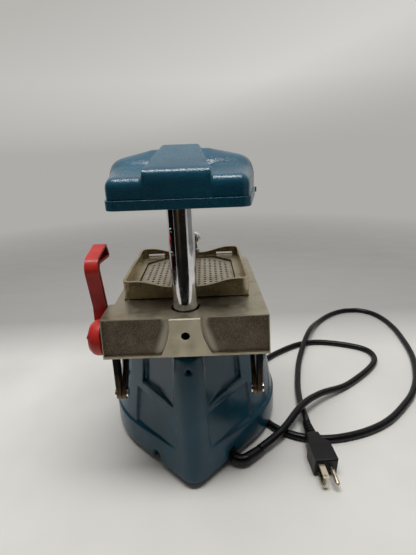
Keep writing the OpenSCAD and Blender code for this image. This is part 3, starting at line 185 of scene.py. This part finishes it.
def enamel(name, grain, depth, flecks, rough, shade=1.0):
    """Blue-green hammer enamel: its skin breaks the highlights into small flecks."""
    k = Look(name, PALE_BLUE, rough=rough)
    cloud = k.noise(22, 2)
    fleck = k.noise(grain * 1.6, 2, 0.7)
    # shade scales the tones and the specular level of a copy of this enamel down: painted shade
    low, high = (tuple(c * shade for c in tone) for tone in (DEEP_BLUE, PALE_BLUE))
    tone = k.mix(k.span(cloud, 0.35, 0.65), low, high)
    k.put("Base Color", k.mix(k.span(fleck, 0.55, 0.75, 0, flecks), tone, FLECK_BLUE))
    k.put("Roughness", k.span(k.noise(160, 3), 0.3, 0.7, rough, rough + 0.1))
    k.put("Specular IOR Level", 0.5 * shade)
    k.bump(k.noise(grain, 1.5, 0.4), depth)
    looks[name] = k.mat


# Head and base wear one enamel; the base's copy is darkened by shade 0.72 as painted shade
enamel("enamel_head", 820, 0.00024, 0.2, 0.19)
enamel("enamel_base", 520, 0.00008, 0.05, 0.15, 0.72)


def cast_metal(name, color, rough):
    """Fine cast or blasted metal with a dull stain here and there."""
    k = Look(name, color, 1.0, rough)
    stain = k.noise(38, 4, 0.65)
    dull = tuple(c * f for c, f in zip(color, (0.72, 0.66, 0.58)))
    k.put("Base Color", k.mix(k.span(stain, 0.48, 0.78), color, dull))
    k.put("Roughness", k.span(k.noise(120, 4), 0.3, 0.7, rough - 0.08, rough + 0.14))
    k.bump(k.noise(900, 2, 0.6), 0.00006)
    looks[name] = k.mat


cast_metal("casting", (0.48, 0.435, 0.33), 0.4)
cast_metal("pewter", (0.5, 0.43, 0.29), 0.29)
cast_metal("plate", (0.58, 0.52, 0.41), 0.36)
cast_metal("housing", (0.5, 0.51, 0.53), 0.5)
cast_metal("reflector", (0.72, 0.72, 0.7), 0.3)


# Half width of the web between the two recesses of the carriage's rear bar, by height
WEB_TOP = (0.2, 0.018)
WEB_FOOT = (0.172, 0.027)


def sand_cast():
    """Rough panel in a recess: speckled brown and grey, smoother beside the web."""
    k = Look("rough_cast", (0.16, 0.125, 0.085), 0.5, 0.62)
    speck = k.noise(1500, 3, 0.75)
    patch = k.noise(60, 3)
    warm = k.mix(k.span(patch, 0.35, 0.65), (0.12, 0.09, 0.058), (0.19, 0.148, 0.104))
    skin = k.mix(k.span(speck, 0.5, 0.7), warm, (0.42, 0.36, 0.28))
    # The web widens downward, and the sand skin fades out into a smooth fillet beside it
    web = k.span(k.axis("Z"), WEB_TOP[0], WEB_FOOT[0], WEB_TOP[1], WEB_FOOT[1])
    away = k.math("SUBTRACT", k.math("ABSOLUTE", k.axis("X")), web)
    rough = k.span(k.math("ADD", away, k.span(speck, 0.3, 0.7, -0.001, 0.001)), 0.0005, 0.006)
    k.put("Base Color", k.mix(rough, (0.5, 0.46, 0.38), skin))
    k.put("Metallic", k.span(rough, 0, 1, 1.0, 0.5))
    k.put("Roughness", k.mix(rough, (0.36, 0.36, 0.36), k.span(speck, 0.35, 0.7, 0.75, 0.42)))
    k.bump(k.noise(1100, 3, 0.7), 0.0004)
    looks["rough_cast"] = k.mat


sand_cast()


def plain(name, color, metallic, rough, grain, depth, **sockets):
    """A finish whose tone, gloss and relief vary a little."""
    k = Look(name, color, metallic, rough, **sockets)
    low = tuple(c * 0.82 for c in color)
    high = tuple(min(1, c * 1.15) for c in color)
    k.put("Base Color", k.mix(k.span(k.noise(55, 4, 0.6), 0.35, 0.65), low, high))
    k.put("Roughness", k.span(k.noise(140, 4, 0.6), 0.3, 0.7, max(0.03, rough - 0.07), rough + 0.1))
    k.bump(k.noise(grain, 2, 0.55), depth)
    looks[name] = k.mat


plain("chrome", (0.86, 0.86, 0.88), 1.0, 0.05, 60, 0.000003)
plain("steel", (0.55, 0.55, 0.56), 1.0, 0.28, 700, 0.00001)
plain("black_paint", (0.02, 0.02, 0.021), 0.0, 0.42, 500, 0.00003)
plain("motor", (0.06, 0.065, 0.07), 0.0, 0.4, 300, 0.00003)
plain("rubber", (0.012, 0.012, 0.012), 0.0, 0.68, 900, 0.00004)
plain("bush", (0.008, 0.008, 0.009), 0.0, 0.5, 700, 0.00003)
plain("switch_black", (0.006, 0.006, 0.006), 0.0, 0.25, 300, 0.00001)
plain("switch_red", (0.3, 0.012, 0.008), 0.0, 0.24, 300, 0.00001)
plain("terminal", (0.6, 0.58, 0.5), 0.0, 0.5, 500, 0.00002)
plain("ceramic", (0.6, 0.55, 0.45), 0.0, 0.85, 800, 0.0001)
plain("coil", (0.16, 0.14, 0.13), 0.8, 0.55, 900, 0.00004)
plain("cord", (0.003, 0.003, 0.0035), 0.0, 0.3, 260, 0.00003, Specular_IOR_Level=0.25)
plain("plug", (0.003, 0.003, 0.0035), 0.0, 0.42, 700, 0.00004, Specular_IOR_Level=0.25)
plain("pins", (0.66, 0.58, 0.42), 1.0, 0.26, 500, 0.00001)
plain("red_enamel", (0.52, 0.026, 0.02), 0.0, 0.36, 240, 0.00006, Specular_IOR_Level=0.35)
# bore: dull near-black, painted shade for the insides of holes, used on the suction holes and the set screw
plain("bore", (0.012, 0.01, 0.008), 0.0, 0.85, 500, 0.00001, Specular_IOR_Level=0.2)


BLACK_ABOVE = 0.146
BROWN_BELOW = 0.124


def blackened():
    """Blackened steel of the cranks and links, which browns toward its lower end."""
    k = Look("dark_steel", (0.05, 0.045, 0.04), 0.85, 0.45)
    patch = k.span(k.noise(90, 4), 0.35, 0.65)
    brown = k.mix(patch, (0.1, 0.066, 0.036), (0.2, 0.14, 0.085))
    black = k.mix(patch, (0.008, 0.0075, 0.007), (0.022, 0.019, 0.016))
    height = k.math("ADD", k.axis("Z"), k.span(k.noise(70, 3), 0.3, 0.7, -0.008, 0.008))
    k.put("Base Color", k.mix(k.span(height, BLACK_ABOVE, BROWN_BELOW), black, brown))
    k.put("Roughness", k.span(k.noise(200, 4), 0.3, 0.7, 0.34, 0.6))
    k.bump(k.noise(700, 3), 0.00005)
    looks["dark_steel"] = k.mat


blackened()

SLOT_LOOK = {"enamel": "enamel_base"}
for row in frame["record"]["materials"]:
    SLOT_LOOK.setdefault(row["slot"], row["slot"])
NODE_SLOT = {row["node"]: row["material_slot"] for row in frame["record"]["subparts"]}


def paint(obj, *names):
    obj.data.materials.clear()
    for name in names:
        obj.data.materials.append(looks[name])


# ---------------------------------------------------------------- meshes
def new_object(name, mesh):
    obj = bpy.data.objects.new(name, mesh)
    scene.collection.objects.link(obj)
    return obj


def stand_in(obj, node):
    """Makes the object the dressed form of a node, on the node's body."""
    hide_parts(node)
    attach(obj, nodes[node]["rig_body"])


# Vertices closer than this are one, and an edge that turns by more than this angle is sharp
WELD = 2e-6
SHARP = 0.55


def dress(node, look, bevel):
    """A cleaned copy of a rigid node with softened edges, in its place."""
    mesh = nodes[node].data.copy()
    for key in [a.name for a in mesh.attributes if a.name == "custom_normal"]:
        mesh.attributes.remove(mesh.attributes[key])
    bm = bmesh.new()
    bm.from_mesh(mesh)
    bmesh.ops.remove_doubles(bm, verts=bm.verts, dist=WELD)
    bmesh.ops.dissolve_limit(bm, angle_limit=0.004, verts=bm.verts, edges=bm.edges)
    bm.to_mesh(mesh)
    bm.free()
    obj = new_object(node + "_skin", mesh)
    paint(obj, look)
    for face in mesh.polygons:
        face.use_smooth = True
    mesh.set_sharp_from_angle(angle=SHARP)
    if bevel:
        mod = obj.modifiers.new("bevel", "BEVEL")
        mod.width = bevel
        mod.segments = 2
        mod.limit_method = "ANGLE"
        mod.angle_limit = SHARP
        mod.use_clamp_overlap = True
        mod.harden_normals = True
    stand_in(obj, node)
    return obj


def copied(obj):
    """The mesh of an object with its modifiers applied, and the object removed."""
    bpy.context.view_layer.update()
    mesh = bpy.data.meshes.new_from_object(obj.evaluated_get(bpy.context.evaluated_depsgraph_get()))
    bpy.data.objects.remove(obj)
    return mesh


def relax(mesh, rounds, weight):
    """Evens the mesh out, each vertex by its weight for its place."""
    count = len(mesh.vertices)
    place = np.empty(count * 3)
    mesh.vertices.foreach_get("co", place)
    place = place.reshape(-1, 3)
    ends = np.empty(len(mesh.edges) * 2, dtype=np.int32)
    mesh.edges.foreach_get("vertices", ends)
    a, b = ends[::2], ends[1::2]
    near = np.bincount(a, minlength=count) + np.bincount(b, minlength=count)
    share = 0.5 * weight(place)[:, None]
    for _ in range(rounds):
        total = [np.bincount(a, place[b, k], count) + np.bincount(b, place[a, k], count) for k in range(3)]
        place += share * (np.stack(total, 1) / near[:, None] - place)
    mesh.vertices.foreach_set("co", place.ravel())


def ramp(value, low, high):
    """0 at low, 1 at high, straight between."""
    return np.clip((value - low) / (high - low), 0, 1)


def cast(node, look, voxel, faces, passes, inner=0.0):
    """A softened copy of a casting, its edges rounded as under thick enamel.

    The hidden inner skin moves inward by inner, so thin places keep their wall in the grid."""
    mesh = nodes[node].data.copy()
    bm = bmesh.new()
    bm.from_mesh(mesh)
    bmesh.ops.remove_doubles(bm, verts=bm.verts, dist=WELD)
    if inner:
        bm.normal_update()
        for vert in bm.verts:
            out = Vector((vert.co.x, vert.co.y, 0)).normalized()
            if vert.normal.dot(out) < -0.5:
                vert.co += vert.normal * inner
    bm.to_mesh(mesh)
    bm.free()
    obj = new_object("raw", mesh)
    grid = obj.modifiers.new("grid", "REMESH")
    grid.mode = "VOXEL"
    grid.voxel_size = voxel
    mesh = copied(obj)
    for rounds, weight in passes:
        relax(mesh, rounds, weight)
    obj = new_object("raw", mesh)
    lean = obj.modifiers.new("lean", "DECIMATE")
    lean.ratio = min(1.0, faces / (len(mesh.polygons) * 2))
    out = new_object(node + "_skin", copied(obj))
    for face in out.data.polygons:
        face.use_smooth = True
    paint(out, look)
    stand_in(out, node)
    return out


# Nodes with their finish and the width of their bevel; a node in neither list stays as it is
DRESSED = {
    "platform_casting": ("casting", 0.0006), "perforated_plate": ("plate", 0),
    "carriage": ("casting", 0.0007), "clamp_frame": ("pewter", 0.0005), "lever": ("red_enamel", 0.0006),
    "post": ("chrome", 0.0003), "left_crank": ("dark_steel", 0.0004), "right_crank": ("dark_steel", 0.0004),
    "left_link": ("dark_steel", 0.0004), "right_link": ("dark_steel", 0.0004),
    "left_pin": ("chrome", 0.0003), "right_pin": ("chrome", 0.0003),
    "head_skirt": ("enamel_head", 0.0012),
    "head_boss": ("casting", 0.0004), "head_collar": ("steel", 0.0003), "ball_knob": ("chrome", 0),
    "clamp_screw": ("steel", 0.0002), "frame_gasket": ("rubber", 0.0002),
    "switch_bezels": ("switch_black", 0.0003), "rocker_heater": ("switch_red", 0.0002),
    "rocker_vacuum": ("switch_black", 0.0002), "plug_body": ("plug", 0.0004), "plug_pins": ("pins", 0.0002),
    "strain_relief": ("cord", 0.0002), "rubber_feet": ("rubber", 0.0003), "post_set_screw": ("bore", 0),
}
# Foot of the head cover on the skirt band, where the raised band along its top ends at each
# side, and the height of the base's set screw
COVER_FOOT = 0.319
BAND_OUTSIDE = (0.0305, 0.035)
BAND_INSIDE = (0.0285, 0.0255)
SCREW_Z = 0.145


def over_foot(p):
    """The cover above its foot, which stays crisp on the skirt band."""
    return ramp(p[:, 2], COVER_FOOT + 0.001, COVER_FOOT + 0.006)


def shoulders(p):
    """Where the cover's top steps down beside the band, and round its outer corners."""
    return (ramp(p[:, 2], 0.334, 0.339) * ramp(p[:, 1], 0.094, 0.086) * ramp(p[:, 1], -0.03, 0.01)
            * ramp(abs(p[:, 0]), *BAND_OUTSIDE))


def rear_edge(p):
    """Rear top edge of the band."""
    return ramp(p[:, 1], 0.074, 0.088) * ramp(p[:, 2], 0.331, 0.338) * ramp(abs(p[:, 0]), *BAND_INSIDE)


def off_screw(p):
    """The base but for the hole of its set screw."""
    away = np.hypot(p[:, 0], p[:, 2] - SCREW_Z)
    return np.where(p[:, 1] > 0, ramp(away, 0.0045, 0.008), 1.0)


# Castings with their finish, voxel, faces, and passes of rounds and place
CAST = {
    "head_cover": ("enamel_head", 0.0011, 60000, ((5, over_foot), (130, shoulders), (110, rear_edge))),
    "base_shell": ("enamel_base", 0.0012, 90000, ((3, off_screw),), 0.003),
}
made = {}
for node in nodes:
    if node in DRESSED:
        made[node] = dress(node, *DRESSED[node])
    elif node in CAST:
        made[node] = cast(node, *CAST[node])
    elif node != "cord":
        paint(nodes[node], SLOT_LOOK[NODE_SLOT[node]])

# Rear bar of the carriage: floor and mouth of its recesses, their outer and upper walls, and
# the place and height of its side faces
RECESS_FLOOR = 0.1069
RECESS_MOUTH = 0.1095
RECESS_SIDE = 0.0781
RECESS_TOP = 0.2074
BAR_SIDE = 0.0785
BAR_TOP = 0.2098
BAR_HEIGHT = 0.043


def rough_panels(obj):
    """Gives the floors of the two rear recesses their sand-cast skin."""
    obj.data.materials.append(looks["rough_cast"])
    for face in obj.data.polygons:
        on_floor = abs(face.center.y - RECESS_FLOOR) < 0.0009
        if face.normal.y > 0.98 and on_floor and abs(face.center.x) > 0.014:
            face.material_index = 1


rough_panels(made["carriage"])


def seat_cover(obj, sink=0.002):
    """Sinks the foot of the cover a little into the skirt band, so no gap shows."""
    for vert in obj.data.vertices:
        vert.co.z -= sink * max(0.0, min(1.0, (COVER_FOOT + 0.0035 - vert.co.z) / sink))


seat_cover(made["head_cover"])


def flare(obj, thin_side=0.0015, thin_top=0.0013, spread=0.002, near=1e-4):
    """Rear bar: thinner lips round the recesses, and side faces that spread toward their foot."""
    for vert in obj.data.vertices:
        if RECESS_FLOOR - 0.0004 < vert.co.y < RECESS_MOUTH + 0.0003:
            if abs(abs(vert.co.x) - RECESS_SIDE) < near:
                vert.co.x += math.copysign(thin_side, vert.co.x)
            if abs(vert.co.z - RECESS_TOP) < near:
                vert.co.z += thin_top
        if abs(vert.co.x) > BAR_SIDE and vert.co.y > 0.0:
            drop = max(0.0, min(1.0, (BAR_TOP - vert.co.z) / BAR_HEIGHT))
            vert.co.x += math.copysign(spread * drop, vert.co.x)


flare(made["carriage"])


def dark_bores(obj, pitch=0.0066, widen=0.0007):
    """Countersinks the suction holes and gives their walls a near-black colour: painted shade in the holes."""
    obj.data.materials.append(looks["bore"])
    middle = sum((Vector(c) for c in obj.bound_box), Vector()) / 8
    top = max(c[2] for c in obj.bound_box)
    largest = 3e-6
    rims = set()
    for face in obj.data.polygons:
        if abs(face.normal.z) < 0.3 and face.area < largest:
            face.material_index = 1
            rims.update(face.vertices)
    for i in rims:
        vert = obj.data.vertices[i]
        if vert.co.z > top - 1e-4:
            hole = Vector((round((vert.co.x - middle.x) / pitch) * pitch + middle.x,
                           round((vert.co.y - middle.y) / pitch) * pitch + middle.y, vert.co.z))
            vert.co += (vert.co - hole).normalized() * widen


dark_bores(made["perforated_plate"])


# ---------------------------------------------------------------- cord
CORD_R = 0.0047
SOLID_R = 0.0042
# Middle line of the cord's solid, from the base's exit to the strain relief of the plug
ROUTE = [
    (-0.07821, 0.07704, 0.0102), (-0.101, 0.06, 0.012), (-0.118, 0.045, 0.0142), (-0.148, 0.012, 0.0182),
    (-0.183, -0.017, 0.0135), (-0.229, -0.044, 0.005), (-0.27, -0.074, 0.0042), (-0.297, -0.099, 0.0042),
    (-0.309, -0.119, 0.0042), (-0.309, -0.139, 0.0042), (-0.295, -0.155, 0.0042), (-0.262, -0.17, 0.0042),
    (-0.225, -0.178, 0.0042), (-0.19, -0.172, 0.0042), (-0.158, -0.155, 0.0042), (-0.125, -0.131, 0.0042),
    (-0.101, -0.106, 0.0042), (-0.087, -0.074, 0.0042), (-0.082, -0.04, 0.0042), (-0.084, -0.006, 0.0042),
    (-0.094, 0.02, 0.0042), (-0.111, 0.04, 0.0042), (-0.135, 0.053, 0.0042), (-0.16, 0.058, 0.0042),
    (-0.192, 0.056, 0.0042), (-0.229, 0.046, 0.0042), (-0.263, 0.029, 0.0042), (-0.298, 0.001, 0.0042),
    (-0.325, -0.026, 0.0042), (-0.35, -0.062, 0.0042), (-0.374, -0.114, 0.0042), (-0.388, -0.168, 0.0042),
    (-0.396, -0.235, 0.0042), (-0.384, -0.288, 0.0042), (-0.35, -0.31, 0.0042), (-0.304, -0.3, 0.0042),
    (-0.256, -0.261, 0.0046), (-0.217, -0.202, 0.0126), (-0.18, -0.125, 0.006), (-0.16, -0.06, 0.0042),
    (-0.152, -0.018, 0.0056), (-0.149, 0.012, 0.0094), (-0.14574, 0.04319, 0.01566),
]


def flow(points, steps):
    """Smooth curve through the points, as the cord's solid follows them."""
    ends = [points[0] * 2 - points[1]] + points + [points[-1] * 2 - points[-2]]
    out = []
    for i in range(1, len(ends) - 2):
        a, b, c, d = ends[i - 1:i + 3]
        for s in range(steps):
            t = s / steps
            square, cube = 2 * a - 5 * b + 4 * c - d, 3 * b - a - 3 * c + d
            out.append(0.5 * (2 * b + (c - a) * t + square * t * t + cube * t ** 3))
    return out + [points[-1]]


def tube(name, path, radius, sides):
    """Mesh tube along a path, its rings carried without twist."""
    bm = bmesh.new()
    rings = []
    side = None
    for i, p in enumerate(path):
        ahead = (path[min(i + 1, len(path) - 1)] - path[max(i - 1, 0)]).normalized()
        if side is None:
            side = ahead.cross(Vector((0, 0, 1))).normalized()
        side = (side - ahead * side.dot(ahead)).normalized()
        up = side.cross(ahead)
        rings.append([bm.verts.new(p + (side * math.cos(a) + up * math.sin(a)) * radius)
                      for a in (2 * math.pi * k / sides for k in range(sides))])
    for a, b in zip(rings, rings[1:]):
        for k in range(sides):
            bm.faces.new((a[k], a[(k + 1) % sides], b[(k + 1) % sides], b[k]))
    bm.faces.new(list(reversed(rings[0])))
    bm.faces.new(rings[-1])
    bmesh.ops.recalc_face_normals(bm, faces=bm.faces)
    mesh = bpy.data.meshes.new(name)
    bm.to_mesh(mesh)
    bm.free()
    for face in mesh.polygons:
        face.use_smooth = True
    return new_object(name, mesh)


path = flow([Vector(p) for p in ROUTE], 8)
# The sheath is a little thicker than the solid, so it lies and crosses itself higher by as much,
# and its outermost bends stay within the box of the solids
low_x, low_y = cad_box[0][0] + CORD_R, cad_box[0][1] + CORD_R
path = [Vector((max(p.x, low_x), max(p.y, low_y), CORD_R + max(0.0, p.z - SOLID_R) * CORD_R / SOLID_R))
        for p in path]
flex = tube("flex", path, CORD_R, 20)
paint(flex, "cord")
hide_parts("cord")
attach(flex, "base")


# ---------------------------------------------------------------- stage
def shown(k, toward):
    """1 for camera rays, and for rays off metal or glass that run toward the far side."""
    camera, glossy, through = (k.add("ShaderNodeLightPath", "Is " + kind + " Ray")
                               for kind in ("Camera", "Glossy", "Transmission"))
    return k.math("MAXIMUM", camera, k.math("MULTIPLY", k.math("ADD", glossy, through), toward))


HORIZON = (0.42, 0.412, 0.39)
FLOOR_HALF = 4


def floor_look():
    """Pale sheet with painted shade that turns it grey behind the machine, and that meets the background far
    off.
    """
    k = Look("floor_look", (0.66, 0.645, 0.62), 0.0, 0.42)
    k.put("Specular IOR Level", 0.3)
    # Painted shade: the floor's colour turns grey beyond the machine
    far = k.span(k.axis("Y"), -0.16, -0.32)
    mottle = k.span(k.noise(5, 3), 0.3, 0.7)
    near = k.mix(mottle, (0.66, 0.64, 0.595), (0.75, 0.73, 0.685))
    k.put("Base Color", k.mix(far, near, (0.4, 0.39, 0.37)))
    scuff = k.noise(9, 5, 0.6, (1, 2.2, 1))
    k.put("Roughness", k.span(scuff, 0.3, 0.7, 0.35, 0.55))
    k.bump(k.noise(14, 2), 0.0006, 0.4)
    length = k.add("ShaderNodeVectorMath", "Value", {"operation": "LENGTH"}, i0=k.coords["Object"])
    beyond = k.math("MAXIMUM", k.span(length, 0.9, 1.7), k.span(k.axis("Y"), 0.33, 0.47))
    fade = k.math("MULTIPLY", beyond, shown(k, k.span(k.axis("Y"), 0, -0.3)))
    glow = k.add("ShaderNodeEmission", 0, Color=(*HORIZON, 1), Strength=1.0)
    both = k.add("ShaderNodeMixShader", 0, i0=fade, i1=k.shader.outputs[0], i2=glow)
    k.tree.links.new(both, k.tree.nodes["Material Output"].inputs["Surface"])
    return k.mat


mesh = bpy.data.meshes.new("floor")
mesh.from_pydata([(x * FLOOR_HALF, y * FLOOR_HALF, 0) for x, y in ((-1, -1), (1, -1), (1, 1), (-1, 1))],
                 [], [(0, 1, 2, 3)])
floor = new_object("floor", mesh)
floor.data.materials.append(floor_look())


def flag(name, corners, emission=None):
    """Dim board that only light and reflections see: a darker side of the room."""
    k = Look(name + "_look", (0.003, 0.003, 0.003), 0.0, 0.9, Specular_IOR_Level=0.0)
    if emission:
        k.put("Emission Color", emission(k))
        k.put("Emission Strength", 1.0)
    mesh = bpy.data.meshes.new(name)
    mesh.from_pydata(corners, [], [(0, 1, 2, 3)])
    obj = new_object(name, mesh)
    obj.data.materials.append(k.mat)
    obj.visible_camera = False
    return obj


def streaks(k):
    """Warm dim streaks on the board behind the camera."""
    aside = k.math("ABSOLUTE", k.math("SUBTRACT", k.axis("X"), 0.12))
    rise = k.span(k.axis("Z"), 0.1, 0.3)
    glow = k.mix(k.span(aside, 0.03, 0.1), (0.08, 0.054, 0.03), (0.008, 0.006, 0.0045))
    return k.mix(rise, (0.004, 0.0035, 0.003), glow)


flag("flag_rear", [(-0.5, 0.5, 0.0), (0.55, 0.5, 0.0), (0.55, 0.5, 0.85), (-0.5, 0.5, 0.85)], streaks)
side = flag("flag_side", [(0.6, -0.2, 0.0), (0.6, 0.5, 0.0), (0.6, 0.5, 0.7), (0.6, -0.2, 0.7)])
pane = flag("flag_window", [(-0.9, -0.35, 0.0), (-0.9, 0.5, 0.0), (-0.9, 0.5, 0.5), (-0.9, -0.35, 0.5)],
            lambda k: (0.15, 0.15, 0.145, 1))
# The side boards only dim what the chrome and the enamel mirror
for board in (side, pane):
    board.visible_diffuse = False
    board.visible_shadow = False


def make_world():
    """Pale room: bright above and ahead of the viewer, dim at the viewer's end of it."""
    world = bpy.data.worlds.new("world")
    scene.world = world
    world.use_nodes = True
    k = Graph(world.node_tree)
    backdrop = k.tree.nodes["Background"]
    x, y, z = k.axis("X", "Generated"), k.axis("Y", "Generated"), k.axis("Z", "Generated")
    # Light from the room, by the azimuth from +Y toward +X: a window on the -X side, walls elsewhere
    turn = k.math("ARCTAN2", x, y)
    wall = k.mix(k.span(turn, 0.9, 1.15), (0.05, 0.048, 0.045), (0.3, 0.3, 0.3))
    window = k.math("MULTIPLY", k.span(turn, -0.9, -1.1), k.span(turn, -1.95, -1.85))
    wall = k.mix(window, wall, (0.3, 0.31, 0.32))
    back = k.math("ABSOLUTE", turn)
    wall = k.mix(k.span(back, 1.95, 2.1), wall, (0.14, 0.13, 0.12))
    wall = k.mix(k.span(back, 2.3, 2.5), wall, (0.42, 0.41, 0.4))
    ceiling = k.mix(k.span(y, 0.1, -0.3), (0.16, 0.16, 0.165), (0.72, 0.73, 0.75))
    room = k.mix(k.span(z, 0.35, 0.65), wall, ceiling)
    # What the camera sees behind the machine: bands of painted light and shade, as on soft folds, that fade
    # out at the horizon
    fold = k.math("ADD", z, k.math("MULTIPLY", x, 0.35))
    sheet = k.mix(k.span(fold, -0.1, 0.1), (0.46, 0.452, 0.43), (0.64, 0.63, 0.605))
    sheet = k.mix(k.span(fold, 0.12, 0.42), sheet, (0.48, 0.465, 0.44))
    sight = k.mix(k.span(z, 0.0, 0.16), HORIZON, sheet)
    seen = shown(k, k.math("MULTIPLY", k.span(y, -0.4, -0.6), k.span(z, 0.7, 0.5)))
    k.tree.links.new(k.mix(seen, room, sight), backdrop.inputs["Color"])
    backdrop.inputs["Strength"].default_value = 1.0


make_world()


def make_softbox(place, target, size, power):
    """Soft light above the machine, which draws the highlights on its rear top edges."""
    data = bpy.data.lights.new("overhead", "AREA")
    data.shape = "RECTANGLE"
    data.size, data.size_y = size
    data.energy = power
    obj = bpy.data.objects.new("overhead", data)
    scene.collection.objects.link(obj)
    obj.location = place
    obj.rotation_euler = (Vector(target) - Vector(place)).to_track_quat("-Z", "Y").to_euler()


make_softbox(place=(0.0, 0.15, 1.5), target=(0, 0, 0.1), size=(1.1, 0.36), power=17)

scene.view_settings.view_transform = "Standard"
